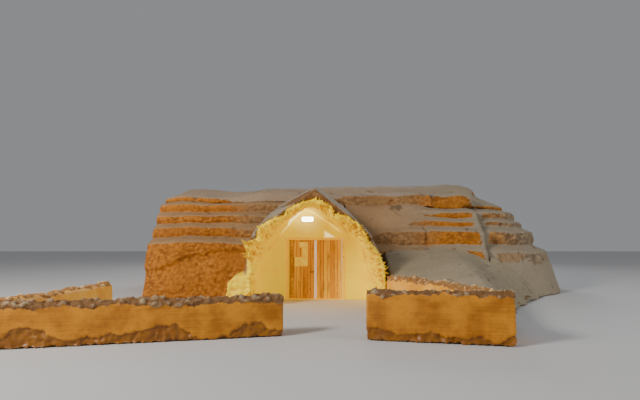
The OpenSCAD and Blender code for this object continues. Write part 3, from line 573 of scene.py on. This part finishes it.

# Crown and roof snow: the top of the vault and the snow that has settled on it. The crown was
# packed last, in one deep step over the lifts, and what fell and drifted on it has frozen to it,
# so it is one soft form.
# The crown's amber is painted lamp light, and its dull faces beside the porch are painted shade.
crown_finish = snow_finish("crown snow", packed=(0.62, 0.215, 0.008), deep=(0.3, 0.096, 0.006),
                           powder=(0.345, 0.24, 0.15), streaks=0.3, shade_colour=shaded_snow,
                           where=beside_porch)
crown_nodes = ["crown_left", "crown_right", "crown_dome", "roof_snow", "roof_drape"]
crown_skin = weathered(skin_over("crown", crown_nodes, step=0.055), right_corner_x, turns=90)
snow_dressed(crown_skin, crown_nodes, crown_finish,
             {**wall_relief, "Clod height": 0.08, "Holes": 0.1, "Dust and shade from": -3.6,
              "Dust and shade to": 0.7, "Drifted at": right_corner_x})

# Snow bank: loose snow between the court wall and the hall. It was banked up by hand and has
# settled there, with clods and crumbs on it.
bank_finish = snow_finish("banked snow", packed=(0.36, 0.25, 0.14), deep=(0.26, 0.16, 0.08),
                          powder=(0.34, 0.27, 0.17), bump=0.45)
snow_dressed(skin_over("bank", ["snow_bank"], step=0.06), ["snow_bank"], bank_finish,
             {"Lump size": 1.3, "Lump height": 0.05, "Clod size": 0.3, "Clod height": 0.04,
              "Grain height": 0.03, "Rubble height": 0.5, "Powder level": 0.2, "Holes": 0.06,
              "Crumbs": 7.0, "Crumb size": 0.08})

# Snow on the porch: a smooth ridge of settled snow that runs from the mouth back to the crown. It
# lies frozen to the porch's vault, and the wind has worn its left flank thin and bare of powder at
# the front; the dark brown of that bare flank, high up, is painted shade.
cap_finish = snow_finish("snow on the porch", packed=(0.29, 0.13, 0.03), deep=(0.17, 0.07, 0.015),
                         powder=(0.34, 0.26, 0.175), bump=0.4)
cap_nodes = ["porch_roof_left", "porch_roof_right"]
porch_cap = skin_over("porch_cap", cap_nodes, step=0.045)
mouth_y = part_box("porch_vault_left")[0][1]
worn_off, worn_to_y, worn_from_x = 0.12, mouth_y + 1.6, 0.1
springing_z = 0.7
for v in porch_cap.data.vertices:
    outward = Vector((v.co.x, 0, v.co.z - springing_z)).normalized()
    at_front = min(1, max(0, (worn_to_y - v.co.y) / 1.2))
    at_left = min(1, max(0, (worn_from_x - v.co.x) / 0.6))
    if v.normal.dot(outward) > 0:
        v.co -= outward * worn_off * (at_front * at_left)
snow_dressed(porch_cap, cap_nodes, cap_finish,
             {"Lump size": 0.9, "Lump height": 0.04, "Clod size": 0.2, "Clod height": 0.03,
              "Grain height": 0.03, "Powder level": 1.0, "Dust and shade from": 0.3, "Dust and shade to": 9.0,
              "Drifted to": 3.4, "Drifted behind": mouth_y + 1.5})


# Porch: a splayed shell of snow with a pointed arch, which shelters the door. It was packed over
# a mould against the hall, and from the mouth inwards it is torn back to a ragged, feathery face.
axis_x = -0.1


def round_axis(t, x, z):
    """How far a point lies to the side of the porch's axis and over it."""
    return t.minus(x, axis_x), t.minus(z, springing_z)


def torn_tree():
    """Flutes that run in from the mouth, a ragged lip, and flakes that stand off the face."""
    t, given, place, normal = group_tree("torn relief", {
        "Flute height": 0.12, "Rag": 0.16, "Mouth": -2.1, "Flakes": 190.0, "Flake length": 0.22})
    x, y, z = t.split(place)
    side, rise = round_axis(t, x, z)
    turn = t.math("ARCTAN2", side, rise)
    out = t.vector("NORMALIZE", t.point(side, 0.0, rise))
    depth = t.minus(y, given["Mouth"])

    def ragged(scale, seed):
        return t.swing(t.point(t.times(turn, scale), seed, 0.0), 1.0, 3.0, 0.7)

    flutes = t.point(t.times(turn, 9.0), t.times(y, 1.5), t.times(z, 1.1))
    flute = t.swing(flutes, 1.0, 5.0, 0.62)
    clods = t.clods(place, 5.0, 0.3)
    outward = t.vector("DOT_PRODUCT", normal, out)
    near_mouth = t.ramp(t.plus(depth, t.times(flute, 0.9)), 1.5, 0.75)
    torn = t.times(near_mouth, t.ramp(outward, 0.35, -0.25))
    push = t.plus(t.times(flute, given["Flute height"]), t.times(clods, 0.07))
    push = t.times(push, t.plus(t.times(torn, 2.2), 0.12))
    lip = t.ramp(depth, 0.34, 0.0)
    rag = t.times(ragged(13.0, 3.0), given["Rag"], t.times(lip, 2.0))
    forward = t.times(ragged(7.0, 9.0), lip, 0.3)
    shift = t.vector("ADD", t.vector("SCALE", normal, push), t.vector("SCALE", out, rag))
    shift = t.vector("ADD", shift, t.point(0.0, forward, 0.0))
    skin = t.store(given["Geometry"], "torn", torn)
    skin = t.store(skin, "outside", t.times(t.ramp(outward, 0.35, 0.7),
                                            t.ramp(t.plus(depth, flute), 0.22, 0.6)))
    skin = t.store(skin, "relief", t.plus(t.times(flute, 1.4), clods))
    moved = t.moved(skin, shift)
    high = t.times(t.ramp(t.plus(z, t.times(x, 0.35)), 0.3, 1.2), t.ramp(z, 0.25, 0.5))
    spread = t.times(t.times(t.stored("torn"), high), given["Flakes"])
    to_front = (0.0, -0.7, 0.0)
    lean = t.vector("ADD", t.vector("ADD", out, t.vector("SCALE", normal, 0.45)), to_front)
    flakes = scattered(t, moved, spread, given, lean,
                       smallest=t.times(given["Flake length"], 0.3),
                       largest=given["Flake length"], attribute="torn")
    return finished(t, [moved, flakes], given)


def flake_mesh():
    """A flat, curved flake that tapers to a ragged tip, one long."""
    bm = bmesh.new()
    rings = []
    turns = (0.3, 1.4, 2.7, 3.9, 5.2)
    twist = 0.03
    for k, (height, wide, thick, bow) in enumerate((
            (-0.25, 0.14, 0.06, 0.0), (0.2, 0.2, 0.05, 0.03),
            (0.6, 0.13, 0.04, 0.08), (0.95, 0.03, 0.012, 0.15))):
        rings.append([bm.verts.new((wide * math.cos(a) + twist * k, thick * math.sin(a) + bow,
                                    height)) for a in turns])
    for low, high in zip(rings, rings[1:]):
        for i in range(len(turns)):
            j = (i + 1) % len(turns)
            bm.faces.new((low[i], low[j], high[j], high[i]))
    bm.faces.new(list(reversed(rings[0])))
    bm.faces.new(rings[-1])
    return new_mesh("flake", bm)


lamp_middle = tuple((a + b) / 2 for a, b in zip(*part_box("lamp_cover")))


def lit_finish(name, bright, deep, bump, painted_glow, rough=0.7, arris=0.0, lit_half_width=99.0):
    """Snow that the lamp lights golden, with strokes that run out from the door; arris is how
    strongly the edge by the door catches the lamp. Past the half width it is plain snow."""
    paint, t, shader, place = new_finish(name)
    x, y, z = t.split(place)
    torn = t.painted("torn")
    side, rise = round_axis(t, x, z)
    away = t.math("SQRT", t.plus(t.times(side, side), t.times(rise, rise)))
    strokes = t.noise(t.point(t.times(t.math("ARCTAN2", side, rise), 26.0), t.times(away, 3.2),
                              t.times(y, 3.0)), 1.0, 5.0, 0.62)
    fine = t.noise(place, 11.0, 6.0, 0.65)
    broad = t.noise(place, 1.6, 3.0, 0.55)
    plain = t.plus(t.times(fine, 0.35), t.times(broad, 0.65))
    worn = t.plus(t.times(strokes, 0.8), t.times(fine, 0.2))
    # On the torn face, darker between the strokes and in its hollows: painted shade.
    shade = t.add("ShaderNodeMix", {"Factor": torn, 2: plain, 3: worn}).outputs[0]
    shade = t.plus(shade, t.times(t.painted("relief"), torn, 0.3))
    shade = t.minus(shade, t.times(torn, 0.06))
    colour = t.mixed(t.ramp(shade, 0.3, 0.5), deep, bright)

    # Painted lamp light, paler round the lamp. Distances from it are kept squared.
    near_lamp, full_light = (1.0, 0.84, 0.25), (1.0, 0.93, 0.6)
    from_lamp = t.vector("SUBTRACT", place, lamp_middle)
    squared = t.vector("DOT_PRODUCT", from_lamp, from_lamp)
    colour = t.mixed(t.ramp(squared, 0.5, 0.0, 0.0, 0.5), colour, near_lamp)

    # A painted highlight on the arris between the porch and the door wall, broad to the left of the
    # lamp, and the painted wedge of light over the right leaf.
    narrowest, broadest = 0.07, 0.42
    wide = t.times(t.ramp(x, -0.15, -0.35), t.times(t.ramp(z, 2.5, 2.8),
                                                    t.ramp(z, 3.2, 2.95, 0.0, broadest)))
    wide = t.greatest(wide, narrowest)
    edge = t.times(t.ramp(t.plus(t.math("DIVIDE", y, wide), fine), -0.9, 0.1),
                   t.times(t.ramp(squared, 1.9, 1.1), t.ramp(z, 2.2, 2.45)))
    edge = t.times(edge, t.ramp(broad, 0.3, 0.5, 0.5, 1.0), arris)
    uneven = t.times(t.minus(fine, 0.5), 0.1)
    slope = t.plus(z, t.times(x, 0.66), uneven)  # level along the wedge's upper edge
    wedge = t.times(t.ramp(slope, 2.66, 2.56), t.times(t.ramp(t.plus(x, uneven), 0.28, 0.36),
                                                       t.ramp(z, 2.13, 2.19)))
    edge = t.greatest(edge, t.times(t.times(wedge, t.ramp(y, -0.6, -0.4)), 0.7))
    colour = t.mixed(edge, colour, full_light)

    # Plain snow on the outer side, and where the wall shows beside the porch.
    drawn_in = t.times(t.greatest(t.minus(z, 1.2), 0.0), 0.6)
    beside = t.ramp(t.plus(t.absolute(x), drawn_in), lit_half_width - 0.12, lit_half_width)
    outside = t.greatest(t.painted("outside"), beside)
    unlit = t.mixed(t.ramp(fine, 0.35, 0.65), (0.3, 0.16, 0.06), (0.34, 0.26, 0.17))
    colour = t.mixed(outside, colour, unlit)
    # The glow is painted lamp light, and so is the emission on the arris.
    lit = t.times(t.minus(1.0, outside), painted_glow)
    grainy = t.plus(fine, t.times(t.times(strokes, torn), 1.4))
    t.fill(shader, {"Base Color": colour, "Roughness": rough, "Emission Color": colour,
                    "Emission Strength": t.plus(lit, t.times(edge, 1.2)),
                    "Normal": t.dent(bump, distance=0.03, height=grainy)})
    return paint


torn_finish = lit_finish("torn snow", bright=(1.0, 0.7, 0.0), deep=(0.62, 0.29, 0.0), bump=0.7,
                         painted_glow=0.3, arris=1.0)
flake = new_object("flake", flake_mesh())
porch_nodes = ["porch_left_wall", "porch_vault_left", "porch_vault_right", "porch_right_wall",
               "side_block"]
porch = skin_over("porch", porch_nodes, step=0.038)
set_inputs(porch, torn_tree(), {"Scattered": flake, "Finish": torn_finish})
stand_for(porch, porch_nodes)

# Snow wall round the door: closes the hall at the back of the porch. It is fine snow, packed
# against the door frame, which it holds, and trowelled smooth by hand.
smooth_finish = lit_finish("trowelled snow", bright=(1.0, 0.76, 0.0), deep=(1.0, 0.66, 0.0),
                           bump=0.12, painted_glow=0.25, rough=0.6, lit_half_width=2.2)
door_wall_nodes = ["door_wall_left", "door_wall_right", "door_wall_over"]
snow_dressed(skin_over("door_wall", door_wall_nodes, step=0.045), door_wall_nodes, smooth_finish,
             {"Lump size": 0.8, "Lump height": 0.012, "Clod size": 0.3,
                                "Clod height": 0.01, "Grain height": 0.004,
                                "Powder depth": 0.0, "Powder level": 1.9})


# Low walls round the forecourt: two in front, one at the left and the curved one that holds the
# bank. They are sawn from icy snow and stand by their own weight, with a crust of frost and
# crumbs along the top and broken snow along the foot.
def sawn_tree():
    """Sawn faces that stay smooth, a clodded crust from a given height up and a broken foot."""
    t, given, place, normal = group_tree("sawn wall relief", {
        "Crust at": 0.72, "Crust height": 0.1, "Teeth": 0.07, "Broken foot": 0.1,
        "Crumbs": 34.0, "Crumb size": 0.05})
    x, y, z = t.split(place)
    along = t.point(x, y, 0.0)
    clods = t.clods(t.stirred(place, 5.0, 0.14), 6.5, 0.3)
    grain = t.swing(place, 9.0, 4.0, 0.6)
    hanging = t.plus(t.times(t.swing(along, 1.1, 2.0), 0.3),
                     t.times(t.swing(place, 6.0, 3.0, 0.6), 0.2))
    crust = t.ramp(t.plus(t.minus(z, given["Crust at"]), hanging), -0.015, 0.03)
    ragged = t.plus(t.times(t.swing(along, 1.0, 2.0), 0.9), t.times(t.swing(place, 5.0, 3.0), 0.25))
    foot = t.times(t.ramp(t.plus(z, ragged), 0.2, 0.16), given["Broken foot"])
    height = t.plus(t.times(t.swing(place, 1.4, 2.0), 0.05), t.times(grain, 0.012))
    clodded = t.plus(t.times(clods, given["Crust height"]), t.times(grain, 0.06))
    height = t.plus(height, t.times(crust, t.plus(0.012, clodded)))
    broken = t.plus(0.25, t.minus(t.times(clods, -0.6), grain))
    height = t.minus(height, t.times(foot, broken))
    teeth = t.times(t.times(t.swing(along, 5.5, 4.0, 0.7), given["Teeth"]), t.times(crust, 3.0))
    waves = t.times(t.times(t.swing(along, 0.9, 2.0), crust), 0.16)
    skin = t.store(given["Geometry"], "crust", crust)
    skin = t.store(skin, "broken", foot)
    skin = t.store(skin, "relief", t.plus(clods, grain))
    moved = t.moved(skin, t.vector("ADD", t.vector("SCALE", normal, height),
                                   t.point(0.0, 0.0, t.plus(teeth, waves))))
    on_top = t.times(t.stored("crust"), t.times(t.ramp(t.split(normal)[2], 0.1, 0.6),
                                                given["Crumbs"]))
    on_top = t.times(on_top, t.ramp(t.noise(along, 1.7, 3.0), 0.4, 0.62))
    crumbs = scattered(t, moved, on_top, given, lean=(0.0, 0.0, 0.6),
                       smallest=t.times(given["Crumb size"], 0.2), largest=given["Crumb size"],
                       attribute="crust", skew=2.5)
    return finished(t, [moved, crumbs], given)


def icy_finish(name, clear, deep, crusted, frost, painted_glow=0.0):
    """Sawn ice, cloudy in patches and marked by the saw, under a crust that holds frost."""
    paint, t, shader, place = new_finish(name)
    crust, broken = t.painted("crust"), t.painted("broken")
    cloudy = t.noise(place, 1.7, 4.0, 0.6)
    fine = t.noise(place, 14.0, 6.0, 0.65)
    sawn = t.noise(t.vector("MULTIPLY", place, (0.8, 0.8, 26.0)), 1.0, 4.0, 0.6)
    face = t.mixed(t.ramp(t.plus(cloudy, t.times(sawn, 0.25)), 0.42, 0.76), deep, clear)
    face = t.mixed(t.ramp(fine, 0.5, 0.72, 0.0, 0.4), face, deep)
    spots = t.ramp(t.noise(place, 5.0, 3.0, 0.6), 0.6, 0.68, 0.0, 0.7)
    face = t.mixed(t.times(spots, broken), face, toned(deep, 0.35))
    face = t.mixed(t.ramp(t.times(broken, 10.0), 0.3, 0.8, 0.0, 0.75), face, toned(deep, 0.5))
    raised = t.plus(t.times(t.painted("relief"), 0.9), fine)
    top = t.mixed(t.ramp(raised, 0.42, 0.82), crusted, frost)
    edge = t.plus(crust, t.times(t.minus(fine, 0.5), 0.9))
    colour = t.mixed(t.ramp(edge, 0.35, 0.6), face, top)
    grainy = t.plus(t.times(sawn, 0.5), t.times(fine, t.plus(0.25, t.times(crust, 1.2))))
    t.fill(shader, {"Base Color": colour, "Roughness": t.ramp(edge, 0.3, 0.6, 0.42, 0.85),
                    "Emission Color": colour, "Emission Strength": painted_glow,
                    "Normal": t.dent(0.5, distance=0.03, height=grainy)})
    return paint


sawn_relief = sawn_tree()
# The amber of the icy snow is painted lamp light; the copy in the light is painted brighter, with a
# painted glow.
ice_finish = icy_finish("icy snow", clear=(0.68, 0.26, 0.004), deep=(0.37, 0.12, 0.002),
                        crusted=(0.2, 0.09, 0.025), frost=(0.42, 0.29, 0.16))
lit_ice_finish = icy_finish("icy snow in the light", clear=(0.98, 0.5, 0.07),
                            deep=(0.8, 0.33, 0.03), crusted=(0.36, 0.16, 0.04),
                            frost=(0.85, 0.55, 0.26), painted_glow=0.08)
for name, finish, crust_depth, own in (
        ("front_wall_left", ice_finish, 0.12, {}),
        ("front_wall_right", ice_finish, 0.1, {"Crust height": 0.08}),
        ("side_wall", lit_ice_finish, 0.05, {"Teeth": 0.05, "Broken foot": 0.0}),
        ("court_wall", lit_ice_finish, 0.1, {"Teeth": 0.1, "Broken foot": 0.0})):
    wall = skin_over(name + "_skin", [name], step=0.03)
    set_inputs(wall, sawn_relief, {**own, "Crust at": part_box(name)[1][2] - crust_depth,
                                   "Scattered": lump, "Finish": finish})
    stand_for(wall, [name])
bpy.data.objects.remove(lump)
bpy.data.objects.remove(flake)


# Door frame: two posts, a head and a sill of planed pine, paler than the leaves. They are joined
# at the corners and set into the snow wall; a painted line of light shines up beside the right
# leaf.
def pine_finish(name, light, dark, board=0.0, start=0.0, greyed=0.0, painted_glow=0.22, lined=None):
    """Pine with upright grain and knots. With a width and a start from the middle of the doorway,
    each board has its own tone and shaded joints; lined is where a painted line of light runs up."""
    paint, t, shader, place = new_finish(name)
    x, y, z = t.split(place)
    from_start = t.minus(t.absolute(x), start)
    which = t.times(x, 0.0)
    if board:
        which = t.math("FLOOR", t.math("DIVIDE", t.times(from_start, t.math("SIGN", x)), board))
    own = t.add("ShaderNodeTexWhiteNoise", {"W": which}, noise_dimensions="1D").outputs["Value"]
    stretched = t.point(t.times(x, 38.0), t.times(y, 38.0),
                        t.plus(t.times(z, 1.6), t.times(own, 30.0)))
    grain = t.noise(stretched, 1.0, 6.0, 0.6)
    knots_at = t.point(t.times(x, 9.0), t.times(y, 2.0),
                       t.plus(t.times(z, 3.6), t.times(own, 50.0)))
    knots = t.add("ShaderNodeTexVoronoi", {"Vector": knots_at, "Scale": 1.0}).outputs["Distance"]
    shade = t.plus(t.times(grain, 0.75), t.times(own, 0.3))
    wood = t.mixed(t.ramp(shade, 0.36, 0.72), dark, light)
    patches = t.noise(t.point(t.times(x, 7.0), 0.0, t.times(z, 1.2)), 1.0, 4.0)
    wood = t.mixed(t.ramp(patches, 0.5, 0.68, 0.0, greyed), wood, toned(dark, 0.42))
    wood = t.mixed(t.ramp(knots, 0.17, 0.08, 0.0, 0.85), wood, toned(dark, 0.25))
    if board:
        # Darker along the left edge of the left leaf.
        darker_at_left = t.ramp(t.plus(x, t.times(t.noise(place, 9.0, 4.0), 0.3)), -0.6, -0.72, 0.0, 0.7)
        wood = t.mixed(darker_at_left, wood, toned(dark, 0.35))
        across = t.math("FRACT", t.math("DIVIDE", from_start, board))
        joint = t.absolute(t.minus(t.absolute(t.minus(across, 0.5)), 0.5))
        wood = t.mixed(t.ramp(joint, 0.09, 0.03, 0.0, 0.8), wood, toned(dark, 0.3))
    # Painted light that shines through the gap beside the right leaf.
    if lined:
        on_line = t.ramp(t.absolute(t.minus(x, lined)), 0.017, 0.011)
        wood = t.mixed(t.times(on_line, t.ramp(z, 0.8, 1.4, 0.25, 0.9)), wood, (1.0, 0.8, 0.68))
    # The wood's amber is partly its own colour and partly painted lamp light; the glow is painted
    # lamp light.
    t.fill(shader, {"Base Color": wood, "Roughness": 0.6, "Emission Color": wood,
                    "Emission Strength": painted_glow,
                    "Normal": t.dent(0.3, distance=0.004, height=grain)})
    return paint


post_edge_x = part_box("right_leaf")[1][0] + 0.016
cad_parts["door_frame"].data.materials[0] = pine_finish(
    "planed pine", light=(1.0, 0.68, 0.005), dark=(1.0, 0.52, 0.002), painted_glow=0.26, lined=post_edge_x)

# Door leaves: two leaves of upright pine boards with eased edges, and a paler board on each
# meeting edge. The boards are nailed side by side, and each leaf swings inwards on its hinges.
board_count, board_gap, board_ease, deepest_set_back = 7, 0.0012, 0.006, 0.004
pale_width, pale_gap = 0.035, 0.001
leaf_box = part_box("right_leaf")
board_start = leaf_box[0][0] + pale_width
board_width = (leaf_box[1][0] - board_start) / board_count
leaf_pine = pine_finish("door pine", light=(1.0, 0.52, 0.012), dark=(0.75, 0.28, 0.002),
                        board=board_width, start=board_start, greyed=0.55)
# The pale strips glow: painted light.
pale_pine = pine_finish("pale pine", light=(1.0, 0.88, 0.66), dark=(1.0, 0.7, 0.42), painted_glow=0.5)


def beam(bm, low, high, bevel=0.004):
    """A squared piece of wood between two corners, with eased edges."""
    made = bmesh.ops.create_cube(bm, size=1.0)
    for v in made["verts"]:
        v.co = Vector([a + (b - a) * (c + 0.5) for a, b, c in zip(low, high, v.co)])
    edges = {e for v in made["verts"] for e in v.link_edges}
    bmesh.ops.bevel(bm, geom=list(edges), offset=bevel, segments=2, affect="EDGES", profile=0.6)


def leaf_boards(bm, low, high, side):
    """Boards of one leaf; side is 1 where the meeting edge is at the high end of X."""
    inner = high[0] - pale_width if side > 0 else low[0] + pale_width
    start, stop = (low[0], inner) if side > 0 else (inner, high[0])
    width = (stop - start) / board_count
    chance = random.Random(7 + side)
    for k in range(board_count):
        set_back = chance.uniform(0.0, deepest_set_back)
        beam(bm, (start + k * width + board_gap, low[1] + set_back, low[2]),
             (start + (k + 1) * width - board_gap, high[1], high[2]), board_ease)


def solid_piece(name, build, body, finish, nodes=()):
    bm = bmesh.new()
    build(bm)
    bmesh.ops.recalc_face_normals(bm, faces=bm.faces)
    obj = new_object(name, new_mesh(name, bm))
    obj.data.materials.append(finish)
    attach(obj, body)
    if nodes:
        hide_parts(*nodes)


for leaf, body, side in (("left_leaf", "left_door", 1), ("right_leaf", "right_door", -1)):
    low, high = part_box(leaf)
    solid_piece(leaf + "_boards", lambda bm: leaf_boards(bm, low, high, side), body,
                leaf_pine, [leaf])
    edge = (high[0] - pale_width, high[0]) if side > 0 else (low[0], low[0] + pale_width)
    solid_piece(leaf + "_edge", lambda bm: beam(bm, (edge[0] + pale_gap, low[1], low[2]),
                                                (edge[1], high[1], high[2])),
                body, pale_pine)

# Notices: three bare sheets of paper on the outer side of the left leaf. They are pinned to the
# boards, and a lower corner of each has curled away from them.
paper, t, shader, place = new_finish("paper")
# The paper's amber tone and its glow are painted lamp light.
tone = t.mixed(t.ramp(t.noise(place, 5.0, 3.0), 0.35, 0.65), (0.95, 0.6, 0.01), (1.0, 0.72, 0.05))
t.fill(shader, {"Base Color": tone, "Emission Color": tone, "Emission Strength": 0.3,
                "Roughness": 0.75})
leaf_face_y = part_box("left_leaf")[0][1]


def sheet_of_paper(bm, x0, x1, z0, z1, curl):
    """A thin sheet that lies on the boards and lifts a little at one lower corner."""
    cols, rows, thick, clear, ripple = 8, 6, 0.0012, 0.0005, 0.0015
    grid = []
    for front in (1, 0):
        layer = []
        for j in range(rows + 1):
            for i in range(cols + 1):
                u, v = i / cols, j / rows
                lift = curl * max(0.0, u - v) ** 2 + ripple * math.sin(7 * u + 5 * v) ** 2
                layer.append(bm.verts.new((
                    x0 + (x1 - x0) * u, leaf_face_y - clear - lift - thick * front,
                    z1 + (z0 - z1) * (1 - v))))
        grid.append(layer)
    n = cols + 1
    for j in range(rows):
        for i in range(cols):
            a, b, c, d = j * n + i, j * n + i + 1, (j + 1) * n + i + 1, (j + 1) * n + i
            bm.faces.new([grid[0][k] for k in (a, b, c, d)])
            bm.faces.new([grid[1][k] for k in (d, c, b, a)])
    rim = (list(range(n)) + [(j + 1) * n + cols for j in range(rows)]
           + [rows * n + i for i in range(cols - 1, -1, -1)]
           + [j * n for j in range(rows - 1, 0, -1)])
    for a, b in zip(rim, rim[1:] + rim[:1]):
        bm.faces.new((grid[0][b], grid[0][a], grid[1][a], grid[1][b]))


def all_sheets(bm):
    sheet_of_paper(bm, -0.56, -0.262, 1.8, 1.995, curl=0.012)
    sheet_of_paper(bm, -0.474, -0.266, 1.475, 1.79, curl=0.018)
    sheet_of_paper(bm, -0.725, -0.27, 1.15, 1.465, curl=0.015)


solid_piece("notices", all_sheets, "left_door", paper)

# Door fittings: a lever handle on the left leaf, and butt hinges with their pins on the inner
# side. They are blackened steel, rubbed a little paler in places, and screwed to the wood.
steel, t, shader, place = new_finish("black steel")
worn = t.noise(place, 60.0, 4.0)
t.fill(shader, {"Base Color": t.mixed(t.ramp(worn, 0.4, 0.7), (0.012, 0.009, 0.007),
                                      (0.05, 0.034, 0.022)),
                "Roughness": t.ramp(worn, 0.3, 0.7, 0.32, 0.55), "Metallic": 0.3})
for name in ("door_handle", "left_hinges", "right_hinges", "hinge_pins"):
    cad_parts[name].data.materials[0] = steel

# Lamp: a moulded housing, soiled a little, that is fixed to the snow wall over the door, and the
# bright, ribbed diffuser that is clipped into it.
housing, t, shader, place = new_finish("lamp housing")
# Its yellow tint is painted lamp light.
soiled = t.ramp(t.noise(place, 14.0, 4.0), 0.4, 0.75)
t.fill(shader, {"Base Color": t.mixed(soiled, (0.92, 0.84, 0.6), (0.8, 0.66, 0.36)),
                "Roughness": 0.45})
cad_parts["lamp_housing"].data.materials[0] = housing
diffuser, t, shader, place = new_finish("lamp diffuser")
ribs = t.add("ShaderNodeTexWave", {"Vector": place, "Scale": 22.0},
             bands_direction="X").outputs["Fac"]
t.fill(shader, {"Base Color": t.mixed(ribs, (1.0, 0.95, 0.72), (1.0, 0.98, 0.86)),
                "Emission Color": t.mixed(ribs, (1.0, 0.9, 0.6), (1.0, 0.97, 0.82)),
                "Emission Strength": 9.0, "Roughness": 0.3})
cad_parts["lamp_cover"].data.materials[0] = diffuser
